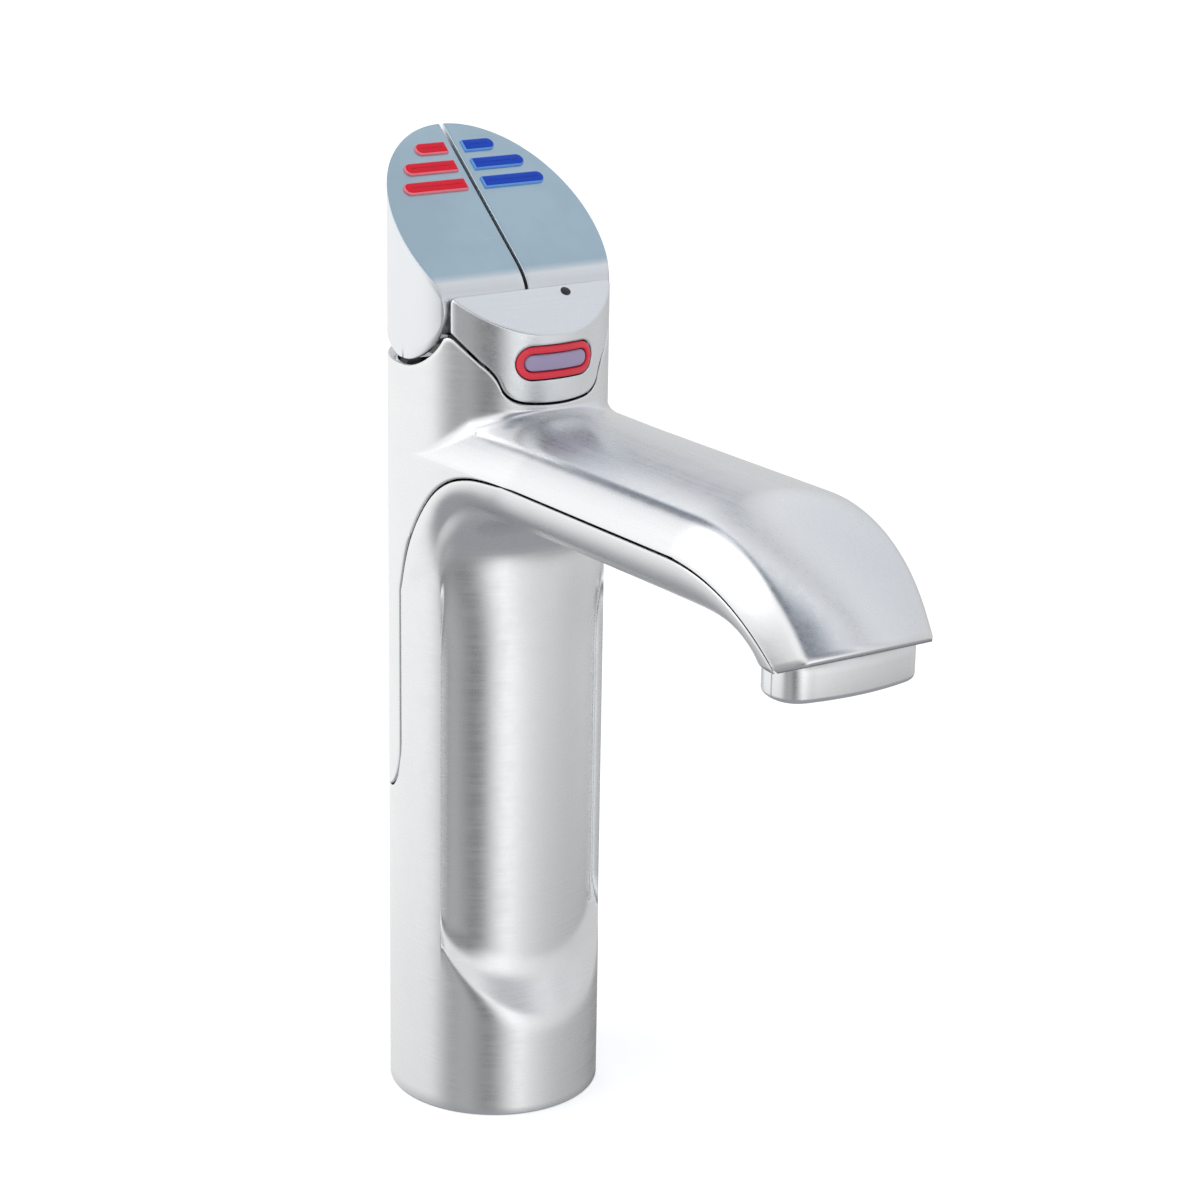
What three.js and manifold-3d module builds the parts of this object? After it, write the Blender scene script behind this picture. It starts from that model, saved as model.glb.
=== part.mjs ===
// Boiling water tap: a brushed steel column with a cast spout, twin tilt levers and a safety button.
// Millimetres. +Z is up, the spout points along -Y, and the origin is on the column's axis at the worktop.

import * as THREE from 'three';
import { mergeVertices } from 'three/addons/utils/BufferGeometryUtils.js';
import Module from 'manifold-3d';

const wasm = await Module();
wasm.setup();

// ---------------------------------------------------------------- driving dimensions

// Fits
const CLEARANCE = 0.3;            // between pieces that touch or seat in one another
const SEAM = 0.3;                 // joint line between the two castings

// Column
const BODY_RADIUS = 30;
const BODY_WALL = 3;
const REAR_WALL = 3.5;
const COLUMN_SIDES = 48;
const BASE_EDGE = 0.6;            // rounded bottom edge

// Front recess of the column
const RECESS_HALF_WIDTH = 25.3;
const RECESS_DEPTH = 5.5;         // at the centre line
const RECESS_SIDE_DEPTH = 3.2;    // at its long edges
const RECESS_BOTTOM = 28;         // lowest point of its U
const RECESS_CORNER = 26.8;       // radius of the U
const RECESS_SLOPE = 0.36;        // depth gained per millimetre above the U
const RECESS_TOP = 172;
const RECESS_SKIN = 2;            // how far the scooping skin stands outside the column

// Spout
const SPOUT_TOP = 200;            // height of the two long ridges
const SPOUT_CROWN = 4;            // rise of the top between the ridges
const RIDGE_HALF_WIDTH = 20;
const SPOUT_HALF_WIDTH = 27.4;
const SOLE_HALF_WIDTH = 21;       // flat underside
const SPOUT_FLOOR = 178;
const NOSE_START = 120;           // forward distance at which the ridge starts to turn down
const NOSE_RADIUS = 46;
const NOSE_ANGLE = 54;            // degrees of turn
const NOSE_DROP = 7;              // straight run after the turn, measured downwards
const MOUTH_BACK = 144;           // forward distance of the mouth's rear edge
const MOUTH_BACK_HEIGHT = 171.4;
const MOUTH_HALF_WIDTH = 23.5;
const ARCH_START = 22;            // forward distance at which the underside starts to curve into the column
const ARCH_REACH = 26;
const ARCH_DROP = 26;
const ARCH_TAPER = 0.55;          // share by which its reach is less at the recess's long edges
const ARCH_RISE = 6;              // how much higher it ends there

// Joint line between the castings, seen from the side
const SEAM_BACK_HEIGHT = 90.5;    // at the rear of the column
const SEAM_OFFSET = 2;            // the line's distance behind the axis on the column's sides
const SEAM_BEND_LOW = 12;         // radius of its lower bend
const SEAM_BEND_HIGH = 40;        // height of its bend up to the spout
const SEAM_HEIGHT = 190.5;        // along the spout
const SEAM_END = 156;             // forward distance at which it meets the mouth

// Levers
const PIVOT_HEIGHT = 230.5;
const LOBE_RADIUS = 14.6;
const SADDLE_RADIUS = 17;
const FACE_HEIGHT = 248.1;        // the sloping face's height above the axis of the column
const FACE_SLOPE = 0.81;
const LEVER_SPLIT = 1.5;          // groove between the two levers
const LEVER_WALL = 2.5;
const LEVER_TAIL_SLOPE = 16;      // degrees, rise of the lever's lower rear edge
const RIM_HEIGHT = 214.4;         // top of the column behind the levers
const SHOULDER_HEIGHT = 224.4;    // top of the column beside the fascia

// Bars on the lever faces
const BAR_WIDTH = 4;
const BAR_INNER_END = 2.6;
const BAR_OUTER_ENDS = [12.5, 18.9, 22.1];
const BAR_FIRST = 22.9;           // distance behind the axis of the highest bar
const BAR_PITCH = 5.2;
const BAR_PROUD = 0.5;
const BAR_POCKET = 1.1;

// Fascia
const FASCIA_TOP = 234.5;
const FASCIA_TOP_FORWARD = 16.3;  // forward distance of its top edge
const FACET_FOOT = 224.8;         // height at which the sloping facet meets the column's surface
const FASCIA_HALF_WIDTH = 25;
const FASCIA_WALL = 2.6;
const FASCIA_GAP = 0.6;
const FASCIA_DEPTH = 20;          // how far it reaches back from the front
const FASCIA_SHOULDER = 225.3;
const FASCIA_BOTTOM = 206.5;

// Safety button and indicator
const BUTTON_HEIGHT = 217.5;
const BUTTON_LENGTH = 24;
const BUTTON_WIDTH = 9.4;
const RING_WIDTH = 1.9;
const BUTTON_TRAVEL = 1.2;
const CAP_THICKNESS = 4;
const INDICATOR_RADIUS = 1.5;
const INDICATOR_X = 9.6;
const INDICATOR_FORWARD = 18.2;

// Axle and its bearings
const AXLE_RADIUS = 2.5;
const AXLE_HALF_LENGTH = 24;
const HUB_RADIUS = 5.5;
const INNER_HUB_END = 5;
const OUTER_HUB_START = 20;
const EAR_START = 10;
const EAR_THICKNESS = 3;
const EAR_HALF_WIDTH = 5;
const SPACER_RADIUS = 4;
const SPRING_RADIUS = 4.5;

// Head chassis and boards
const DECK_BOTTOM = 205.5;
const DECK_THICKNESS = 6;
const BOARD_THICKNESS = 1.6;
const CONTROL_BOARD_HALF_WIDTH = 16;
const CONTROL_BOARD_FRONT = 7;
const CONTROL_BOARD_BACK = 20;
const MAGNET_RADIUS = 3;
const MAGNET_THICKNESS = 3;
const MAGNET_PLACE = [14, PIVOT_HEIGHT + 4];
const FRONT_POST = 18.9;          // forward distance of the chassis's front wall
const FRONT_POST_THICKNESS = 1.8;

// Base
const BASE_THICKNESS = 8;
const SEAL_WIDTH = 2.8;
const SEAL_HEIGHT = 1.3;
const SCREW_RADIUS = 2;
const SCREW_HEAD_RADIUS = 3.5;
const SCREW_HEAD_HEIGHT = 2.5;
const BASE_SCREW_CIRCLE = 18.8;
const STUD_HOLE_RADIUS = 2.5;
const STUD_SPACING = 28;
const STUD_DEPTH = 6;
const LUG_WIDTH = 9;              // of the lugs inside the castings that take the screws
const LUG_HEIGHT = 10;
const CHASSIS_SCREW_X = 20;
const CHASSIS_SCREW_Y = 8;

// Tubes and lead
const TUBE_RADIUS = 2.75;
const VENT_RADIUS = 2.2;
const LEAD_RADIUS = 2;
const TUBE_HEIGHT = 189;          // in the spout
const TUBE_SPREAD = 7;            // sideways, in the spout
const NOZZLE_SPREAD = 5.6;        // sideways, at the outlet

// Outlet block
const OUTLET_BOTTOM = 163;
const OUTLET_TOP = 178.5;
const OUTLET_HALF_WIDTH = 19;
const OUTLET_FRONT = 158;
const OUTLET_BACK = 141.5;
const OUTLET_BULGE = 2.6;
const OUTLET_CORNER = 7;
const NOZZLE_RADIUS = 6.5;
const NOZZLE_THICKNESS = 4.4;
const JET_RADIUS = 1;
const JET_COUNT = 6;

// ---------------------------------------------------------------- shape helpers

const radians = THREE.MathUtils.degToRad;

// A closed geometry as a solid that can be joined and cut, turned the right way out.
function solid(geometry) {
  geometry.deleteAttribute('normal');
  geometry.deleteAttribute('uv');
  const merged = mergeVertices(geometry, 1e-4);
  const positions = merged.attributes.position.array;
  const corners = Uint32Array.from(merged.index.array);
  const a = new THREE.Vector3();
  const b = new THREE.Vector3();
  const c = new THREE.Vector3();
  let volume = 0;
  for (let i = 0; i < corners.length; i += 3) {
    a.fromArray(positions, corners[i] * 3);
    b.fromArray(positions, corners[i + 1] * 3);
    c.fromArray(positions, corners[i + 2] * 3);
    volume += a.dot(b.cross(c));
  }
  if (volume < 0) {
    corners.reverse();
  }
  return new wasm.Manifold(
    new wasm.Mesh({ numProp: 3, vertProperties: Float32Array.from(positions), triVerts: corners }),
  );
}

function union(solids) {
  return solids.reduce((whole, piece) => whole.add(piece));
}

function geometryOf(manifold) {
  const mesh = manifold.getMesh();
  const geometry = new THREE.BufferGeometry();
  geometry.setAttribute('position', new THREE.BufferAttribute(Float32Array.from(mesh.vertProperties), 3));
  geometry.setIndex(new THREE.BufferAttribute(Uint32Array.from(mesh.triVerts), 1));
  geometry.computeVertexNormals();
  return geometry;
}

function extruded(shape, depth, curveSegments = 6) {
  return new THREE.ExtrudeGeometry(shape, { depth, bevelEnabled: false, curveSegments });
}

// A shape drawn in (x, y), standing between two heights.
function prismZ(shape, bottom, top, curveSegments) {
  return solid(extruded(shape, top - bottom, curveSegments).translate(0, 0, bottom));
}

// A shape drawn in (y, z), running between two places along X.
function prismX(shape, from, to, curveSegments) {
  const turn = new THREE.Matrix4().makeBasis(
    new THREE.Vector3(0, 1, 0),
    new THREE.Vector3(0, 0, 1),
    new THREE.Vector3(1, 0, 0),
  );
  return solid(extruded(shape, to - from, curveSegments).applyMatrix4(turn).translate(from, 0, 0));
}

// A shape drawn in (x, z), running between two places along Y.
function prismY(shape, from, to, curveSegments) {
  const turn = new THREE.Matrix4().makeBasis(
    new THREE.Vector3(1, 0, 0),
    new THREE.Vector3(0, 0, 1),
    new THREE.Vector3(0, -1, 0),
  );
  return solid(extruded(shape, to - from, curveSegments).applyMatrix4(turn).translate(0, to, 0));
}

function rodZ(radius, bottom, top, x = 0, y = 0, sides = 14) {
  const rod = new THREE.CylinderGeometry(radius, radius, top - bottom, sides);
  return solid(rod.rotateX(Math.PI / 2).translate(x, y, (bottom + top) / 2));
}

function rodX(radius, from, to, y, z, sides = 20) {
  const rod = new THREE.CylinderGeometry(radius, radius, to - from, sides);
  return solid(rod.rotateZ(Math.PI / 2).translate((from + to) / 2, y, z));
}

function rodY(radius, from, to, x, z, sides = 16) {
  const rod = new THREE.CylinderGeometry(radius, radius, to - from, sides);
  return solid(rod.translate(x, (from + to) / 2, z));
}

function box(x0, x1, y0, y1, z0, z1) {
  const block = new THREE.BoxGeometry(x1 - x0, y1 - y0, z1 - z0);
  return solid(block.translate((x0 + x1) / 2, (y0 + y1) / 2, (z0 + z1) / 2));
}

// Triangles that fill a flat ring of points, as index triples into the ring.
function capOf(ring) {
  const centre = ring.reduce((sum, point) => sum.add(point), new THREE.Vector3()).divideScalar(ring.length);
  const normal = new THREE.Vector3();
  ring.forEach((point, i) => {
    const next = ring[(i + 1) % ring.length];
    normal.add(point.clone().sub(centre).cross(next.clone().sub(centre)));
  });
  normal.normalize();
  const across = ring[1].clone().sub(ring[0]).normalize();
  const along = normal.clone().cross(across);
  const flat = ring.map((point) => new THREE.Vector2(point.dot(across), point.dot(along)));
  return THREE.ShapeUtils.triangulateShape(flat, []);
}

// A closed skin through rings of points, each ring with as many points as the next.
function loft(rings) {
  const count = rings[0].length;
  const positions = rings.flat().flatMap((point) => [point.x, point.y, point.z]);
  const index = [];
  for (let ring = 0; ring + 1 < rings.length; ring += 1) {
    for (let i = 0; i < count; i += 1) {
      const next = (i + 1) % count;
      const low = ring * count;
      const high = low + count;
      index.push(low + i, low + next, high + next, low + i, high + next, high + i);
    }
  }
  const last = (rings.length - 1) * count;
  for (const [a, b, c] of capOf(rings[0])) {
    index.push(a, c, b);
  }
  for (const [a, b, c] of capOf(rings[rings.length - 1])) {
    index.push(last + a, last + b, last + c);
  }
  const geometry = new THREE.BufferGeometry();
  geometry.setAttribute('position', new THREE.Float32BufferAttribute(positions, 3));
  geometry.setIndex(index);
  return solid(geometry);
}

function polygon(points) {
  return new THREE.Shape(points.map(([x, y]) => new THREE.Vector2(x, y)));
}

// A rounded slot lying along X in an (x, z) drawing.
function pill(length, width, x = 0, z = 0) {
  const radius = width / 2;
  const reach = length / 2 - radius;
  const shape = new THREE.Shape();
  shape.moveTo(x - reach, z - radius);
  shape.lineTo(x + reach, z - radius);
  shape.absarc(x + reach, z, radius, -Math.PI / 2, Math.PI / 2);
  shape.lineTo(x - reach, z + radius);
  shape.absarc(x - reach, z, radius, Math.PI / 2, Math.PI * 1.5);
  return shape;
}

// A tube of circular section along a smooth route.
function tube(points, radius, steps = 26) {
  const route = new THREE.CatmullRomCurve3(points.map(([x, y, z]) => new THREE.Vector3(x, y, z)));
  const section = new THREE.Shape();
  section.absarc(0, 0, radius, 0, Math.PI * 2);
  return solid(
    new THREE.ExtrudeGeometry(section, { steps, extrudePath: route, curveSegments: 4 }),
  );
}

// ---------------------------------------------------------------- materials

function finish(color, roughness, metalness, extra = {}) {
  return new THREE.MeshStandardMaterial({ color, roughness, metalness, ...extra });
}

const brushedSteel = () => finish(0xc9cccf, 0.38, 1);
const satinSteel = () => finish(0xaab4bf, 0.42, 1);
const redInlay = () => finish(0xe0142f, 0.35, 0);
const blueInlay = () => finish(0x0a3fd0, 0.35, 0);
const blackPlastic = () => finish(0x141517, 0.55, 0);
const blackRubber = () => finish(0x1c1c1e, 0.8, 0);
const brass = () => finish(0xb98f45, 0.4, 1);
const boardGreen = () => finish(0x1d5c3a, 0.6, 0);
const silicone = () => finish(0xe6e4de, 0.5, 0);
const glowingRing = () => finish(0xe63c46, 0.3, 0, { emissive: 0x8a0d16 });
const buttonGrey = () => finish(0xaaa0bc, 0.4, 0);

// ---------------------------------------------------------------- body castings

const HEAD_RADIUS = BODY_RADIUS - BODY_WALL;
const HOLLOW_FRONT_REACH = BODY_RADIUS - RECESS_DEPTH - BODY_WALL;
const HOLLOW_REAR_REACH = BODY_RADIUS - REAR_WALL;
const HOLLOW_RADIUS = (HOLLOW_FRONT_REACH + HOLLOW_REAR_REACH) / 2;
const HOLLOW_BACK = (HOLLOW_REAR_REACH - HOLLOW_FRONT_REACH) / 2;
const FAR = BODY_RADIUS * 10;

// The column with a slightly eased bottom edge.
function columnSolid() {
  const profile = [
    [0, 0],
    [BODY_RADIUS - BASE_EDGE, 0],
    [BODY_RADIUS, BASE_EDGE],
    [BODY_RADIUS, SHOULDER_HEIGHT],
    [0, SHOULDER_HEIGHT],
  ].map(([r, z]) => new THREE.Vector2(r, z));
  return solid(new THREE.LatheGeometry(profile, COLUMN_SIDES).rotateX(Math.PI / 2));
}

// Depth of the recess below the column's surface, by angle from the front and by height.
// Below its U the value is negative, which keeps the scooping skin outside the column.
function recessDepth(angle, height) {
  const across = Math.abs(Math.sin(angle)) * BODY_RADIUS;
  const share = Math.min(across / RECESS_HALF_WIDTH, 1);
  const full = RECESS_DEPTH + (RECESS_SIDE_DEPTH - RECESS_DEPTH) * share ** 2;
  const corner = Math.min(across, RECESS_CORNER);
  const floor = RECESS_BOTTOM + RECESS_CORNER - Math.sqrt(RECESS_CORNER ** 2 - corner ** 2);
  return Math.min(full, Math.max(-RECESS_SKIN / 2, (height - floor) * RECESS_SLOPE));
}

// What is scooped out of the column's front: a skin over a grid of angles and heights.
function recessTool() {
  const halfAngle = Math.asin(RECESS_HALF_WIDTH / BODY_RADIUS);
  const columns = 14;
  const fullDepthHeight = RECESS_BOTTOM + RECESS_CORNER + RECESS_DEPTH / RECESS_SLOPE;
  const slopeRows = 8;
  const heights = [];
  for (let row = 0; row <= slopeRows; row += 1) {
    heights.push(RECESS_BOTTOM + ((fullDepthHeight - RECESS_BOTTOM) * row) / slopeRows);
  }
  heights.push(RECESS_TOP);
  const rings = heights.map((height) => {
    const ring = [];
    for (let i = 0; i <= columns; i += 1) {
      const angle = halfAngle * ((2 * i) / columns - 1);
      const radius = BODY_RADIUS - recessDepth(angle, height);
      ring.push(new THREE.Vector3(Math.sin(angle) * radius, -Math.cos(angle) * radius, height));
    }
    for (let i = columns; i >= 0; i -= 1) {
      const angle = halfAngle * ((2 * i) / columns - 1);
      const radius = BODY_RADIUS + RECESS_SKIN;
      ring.push(new THREE.Vector3(Math.sin(angle) * radius, -Math.cos(angle) * radius, height));
    }
    return ring;
  });
  return loft(rings);
}

// Half the width of the recess at the foot of its side walls, which point at the column's axis.
const RECESS_FOOT_WIDTH = (RECESS_HALF_WIDTH * (BODY_RADIUS - RECESS_SIDE_DEPTH)) / BODY_RADIUS;

// Forward distance of the recess's floor, by place across the column.
function recessForward(x) {
  const share = Math.min(Math.abs(x) / RECESS_FOOT_WIDTH, 1);
  const radius = BODY_RADIUS - RECESS_DEPTH - (RECESS_SIDE_DEPTH - RECESS_DEPTH) * share ** 2;
  return Math.sqrt(Math.max(radius ** 2 - x ** 2, 0));
}

// The hollow curve that carries the recess's floor over into the underside of the spout.
function archSolid() {
  const columns = 10;
  const steps = 6;
  const half = RECESS_FOOT_WIDTH;
  const back = BODY_RADIUS / 6;
  const bottom = SPOUT_FLOOR - ARCH_DROP;
  const rings = [];
  for (let i = 0; i <= columns; i += 1) {
    const x = half * ((2 * i) / columns - 1);
    const share = Math.abs(x) / half;
    const start = recessForward(x);
    const reach = ARCH_REACH * (1 - ARCH_TAPER * share ** 2);
    const top = SPOUT_FLOOR + ARCH_RISE * share ** 4;
    const ring = [[back, bottom], [back, top + ARCH_RISE]];
    ring.push([start + reach, top + ARCH_RISE]);
    for (let step = steps; step >= 0; step -= 1) {
      const angle = (Math.PI / 2) * (step / steps);
      ring.push([start + reach * (1 - Math.cos(angle)), bottom + (top - bottom) * Math.sin(angle)]);
    }
    rings.push(ring.map(([forward, height]) => new THREE.Vector3(x, -forward, height)));
  }
  return loft(rings);
}

// Ridge and underside of the spout, seen from the side, from inside the column to the mouth.
function spoutStations() {
  const stations = [];
  const turn = radians(NOSE_ANGLE);
  const noseSteps = 7;
  const station = (ridge, floor, side, sole) => ({ ridge, floor, side, sole });
  const flare = (forward) => {
    const share = Math.min(forward / (ARCH_START + ARCH_REACH), 1);
    return BODY_RADIUS + (SPOUT_HALF_WIDTH - BODY_RADIUS) * share;
  };
  for (const forward of [0, ARCH_START, ARCH_START + ARCH_REACH]) {
    const share = forward / (ARCH_START + ARCH_REACH);
    const sole = RECESS_HALF_WIDTH + (SOLE_HALF_WIDTH - RECESS_HALF_WIDTH) * share;
    stations.push(station([forward, SPOUT_TOP], [forward, SPOUT_FLOOR], flare(forward), sole));
  }
  for (let i = 0; i <= noseSteps; i += 1) {
    const share = i / noseSteps;
    const angle = turn * share;
    const ridge = [
      NOSE_START + NOSE_RADIUS * Math.sin(angle),
      SPOUT_TOP - NOSE_RADIUS * (1 - Math.cos(angle)),
    ];
    const floor = [
      NOSE_START + (MOUTH_BACK - 0.6 - NOSE_START) * Math.sin((share * Math.PI) / 2),
      SPOUT_FLOOR - (SPOUT_FLOOR - MOUTH_BACK_HEIGHT - 0.2) * share ** 2.5,
    ];
    const side = SPOUT_HALF_WIDTH + (MOUTH_HALF_WIDTH - SPOUT_HALF_WIDTH) * share ** 2;
    stations.push(station(ridge, floor, side, SOLE_HALF_WIDTH - 2 * share ** 2));
  }
  const end = stations[stations.length - 1];
  const run = NOSE_DROP / Math.tan(turn);
  stations.push(
    station(
      [end.ridge[0] + run, end.ridge[1] - NOSE_DROP],
      [MOUTH_BACK, MOUTH_BACK_HEIGHT],
      end.side,
      end.sole,
    ),
  );
  return stations;
}

// One ring of the spout's skin; the inset moves it inwards to make the inner skin.
function spoutRing({ ridge, floor, side, sole }, inset) {
  const up = new THREE.Vector2(ridge[0] - floor[0], ridge[1] - floor[1]);
  const height = up.length();
  up.normalize();
  const top = height - inset;
  const crown = SPOUT_CROWN;
  const ridgeHalf = RIDGE_HALF_WIDTH * (side / SPOUT_HALF_WIDTH) ** 0.8 - inset * 0.6;
  const sideHalf = side - inset;
  const soleHalf = sole - inset;
  const shoulder = top - (SPOUT_TOP - SEAM_HEIGHT) * Math.min(1, height / (SPOUT_TOP - SPOUT_FLOOR));
  const half = new THREE.Path();
  half.moveTo(0, top + crown);
  half.quadraticCurveTo(ridgeHalf * 0.6, top + crown, ridgeHalf, top);
  half.quadraticCurveTo(sideHalf * 0.98, top - 3, sideHalf, shoulder);
  half.quadraticCurveTo(sideHalf * 0.99, inset + (shoulder - inset) * 0.3, soleHalf, inset);
  const points = half.getPoints(5);
  const left = points.slice(1).reverse().map((point) => new THREE.Vector2(-point.x, point.y));
  return [...points, ...left].map(
    (point) => new THREE.Vector3(point.x, -(floor[0] + up.x * point.y), floor[1] + up.y * point.y),
  );
}

function spoutSolid(inset) {
  return loft(spoutStations().map((station) => spoutRing(station, inset)));
}

// The space inside the spout, carried on through the mouth.
function spoutHollow() {
  const stations = spoutStations();
  const end = stations[stations.length - 1];
  const lowered = ([forward, height]) => [forward, height - BODY_WALL];
  stations.push({ ...end, ridge: lowered(end.ridge), floor: lowered(end.floor) });
  return loft(stations.map((station) => spoutRing(station, BODY_WALL)));
}

// The joint line seen from the side, from the rear of the column to the front of the nose.
function seamLine() {
  const line = new THREE.Path();
  line.moveTo(FAR, SEAM_BACK_HEIGHT);
  line.lineTo(SEAM_OFFSET + SEAM_BEND_LOW, SEAM_BACK_HEIGHT);
  line.quadraticCurveTo(
    SEAM_OFFSET, SEAM_BACK_HEIGHT + 1,
    SEAM_OFFSET, SEAM_BACK_HEIGHT + SEAM_BEND_LOW + 3,
  );
  line.lineTo(SEAM_OFFSET, SEAM_HEIGHT - SEAM_BEND_HIGH);
  line.quadraticCurveTo(SEAM_OFFSET - 2.5, SEAM_HEIGHT - 7, -ARCH_START - 3, SEAM_HEIGHT - 1.5);
  line.quadraticCurveTo(-ARCH_START - 10, SEAM_HEIGHT, -ARCH_START - ARCH_REACH - 3, SEAM_HEIGHT);
  line.lineTo(-NOSE_START + 3, SEAM_HEIGHT);
  line.quadraticCurveTo(-MOUTH_BACK + 2, SEAM_HEIGHT - 0.5, -SEAM_END, MOUTH_BACK_HEIGHT);
  line.lineTo(-SEAM_END, 0);
  return line.getPoints(5);
}

// A line thickened to a narrow band.
function bandAround(points, width) {
  const sides = [[], []];
  points.forEach((point, i) => {
    const before = points[Math.max(i - 1, 0)];
    const after = points[Math.min(i + 1, points.length - 1)];
    const normal = new THREE.Vector2(before.y - after.y, after.x - before.x).setLength(width / 2);
    sides[0].push(point.clone().add(normal));
    sides[1].push(point.clone().sub(normal));
  });
  return new THREE.Shape([...sides[0], ...sides[1].reverse()]);
}

// Outline of the fascia from the front; the grow value makes the opening that it sits in.
function fasciaOutline(grow) {
  const half = FASCIA_HALF_WIDTH + grow;
  const top = FASCIA_TOP + grow + 1;
  const bottom = FASCIA_BOTTOM - grow;
  const waist = half * 0.66;
  const shape = new THREE.Shape();
  shape.moveTo(-half, top);
  shape.lineTo(-half, FASCIA_SHOULDER - grow);
  shape.quadraticCurveTo(-half + 2, FASCIA_SHOULDER - grow - 3, -waist - 3, bottom + 11.5);
  shape.quadraticCurveTo(-waist + 0.5, bottom + 8.5, -waist + 1.4, bottom + 5);
  shape.quadraticCurveTo(-waist + 3, bottom + 1, -waist + 8, bottom + 0.6);
  shape.quadraticCurveTo(0, bottom - 0.4, waist - 8, bottom + 0.6);
  shape.quadraticCurveTo(waist - 3, bottom + 1, waist - 1.4, bottom + 5);
  shape.quadraticCurveTo(waist - 0.5, bottom + 8.5, waist + 3, bottom + 11.5);
  shape.quadraticCurveTo(half - 2, FASCIA_SHOULDER - grow - 3, half, FASCIA_SHOULDER - grow);
  shape.lineTo(half, top);
  return shape;
}

// Everything above the column's rim, shoulders and saddle.
function aboveSaddle() {
  const peak = Math.asin((PIVOT_HEIGHT - SHOULDER_HEIGHT) / SADDLE_RADIUS);
  const rear = Math.asin((PIVOT_HEIGHT - RIM_HEIGHT) / SADDLE_RADIUS);
  const shape = new THREE.Shape();
  shape.moveTo(-FAR, FAR);
  shape.lineTo(-FAR, SHOULDER_HEIGHT);
  shape.absarc(0, PIVOT_HEIGHT, SADDLE_RADIUS, Math.PI + peak, 2 * Math.PI - rear);
  shape.lineTo(FAR, RIM_HEIGHT);
  shape.lineTo(FAR, FAR);
  return prismX(shape, -FAR, FAR, 8);
}

// The space inside the column: wide at the base plate and the head, set back behind the recess between.
function columnHollow() {
  const shaft = rodZ(HOLLOW_RADIUS, -1, FAR, 0, HOLLOW_BACK, COLUMN_SIDES);
  const headRoom = rodZ(HEAD_RADIUS, DECK_BOTTOM - CLEARANCE, FAR, 0, 0, COLUMN_SIDES);
  const baseRoom = rodZ(HEAD_RADIUS, -1, BASE_THICKNESS + CLEARANCE, 0, 0, COLUMN_SIDES);
  return union([shaft, headRoom, baseRoom]);
}

function outletOutline(inset) {
  const half = OUTLET_HALF_WIDTH - inset;
  const front = -OUTLET_FRONT + inset;
  const back = -OUTLET_BACK - inset;
  const corner = OUTLET_CORNER - inset;
  const shape = new THREE.Shape();
  shape.moveTo(-half, back - corner / 2);
  shape.lineTo(-half, front + OUTLET_BULGE + corner);
  shape.quadraticCurveTo(-half, front + OUTLET_BULGE, -half + corner, front + OUTLET_BULGE - 0.8);
  shape.quadraticCurveTo(0, front - OUTLET_BULGE + 1.6, half - corner, front + OUTLET_BULGE - 0.8);
  shape.quadraticCurveTo(half, front + OUTLET_BULGE, half, front + OUTLET_BULGE + corner);
  shape.lineTo(half, back - corner / 2);
  shape.quadraticCurveTo(half, back, half - corner / 2, back);
  shape.lineTo(-half + corner / 2, back);
  shape.quadraticCurveTo(-half, back, -half, back - corner / 2);
  return shape;
}

const baseScrewAngles = [90, 210, 330].map(radians);
const baseScrewPlaces = baseScrewAngles.map((angle) => [
  Math.cos(angle) * BASE_SCREW_CIRCLE,
  Math.sin(angle) * BASE_SCREW_CIRCLE,
]);
const chassisScrewPlaces = [-1, 1].map((side) => [side * CHASSIS_SCREW_X, CHASSIS_SCREW_Y]);
const BASE_LUG_BOTTOM = BASE_THICKNESS + CLEARANCE;
const BASE_LUG_TOP = BASE_LUG_BOTTOM + LUG_HEIGHT;
const CHASSIS_LUG_TOP = DECK_BOTTOM - CLEARANCE;
const CHASSIS_LUG_BOTTOM = CHASSIS_LUG_TOP - LUG_HEIGHT;

// A lug from the column's wall inwards, in line with a screw.
function screwLug([x, y], bottom, top) {
  const inner = Math.hypot(x, y) - LUG_WIDTH / 2;
  const outer = HEAD_RADIUS + 1;
  const lug = new THREE.BoxGeometry(outer - inner, LUG_WIDTH, top - bottom);
  lug.translate((inner + outer) / 2, 0, (bottom + top) / 2);
  return solid(lug.rotateZ(Math.atan2(y, x)));
}

function screwLugs() {
  return union([
    ...baseScrewPlaces.map((place) => screwLug(place, BASE_LUG_BOTTOM, BASE_LUG_TOP)),
    ...chassisScrewPlaces.map((place) => screwLug(place, CHASSIS_LUG_BOTTOM, CHASSIS_LUG_TOP)),
  ]);
}

// Blind holes in the lugs, open towards the screw's head.
function screwHoles() {
  const radius = SCREW_RADIUS + CLEARANCE;
  const floor = 1.5;
  return union([
    ...baseScrewPlaces.map((place) => rodZ(radius, BASE_LUG_BOTTOM - 1, BASE_LUG_TOP - floor, ...place)),
    ...chassisScrewPlaces.map((place) => (
      rodZ(radius, CHASSIS_LUG_BOTTOM + floor, CHASSIS_LUG_TOP + 1, ...place)
    )),
  ]);
}

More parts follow.
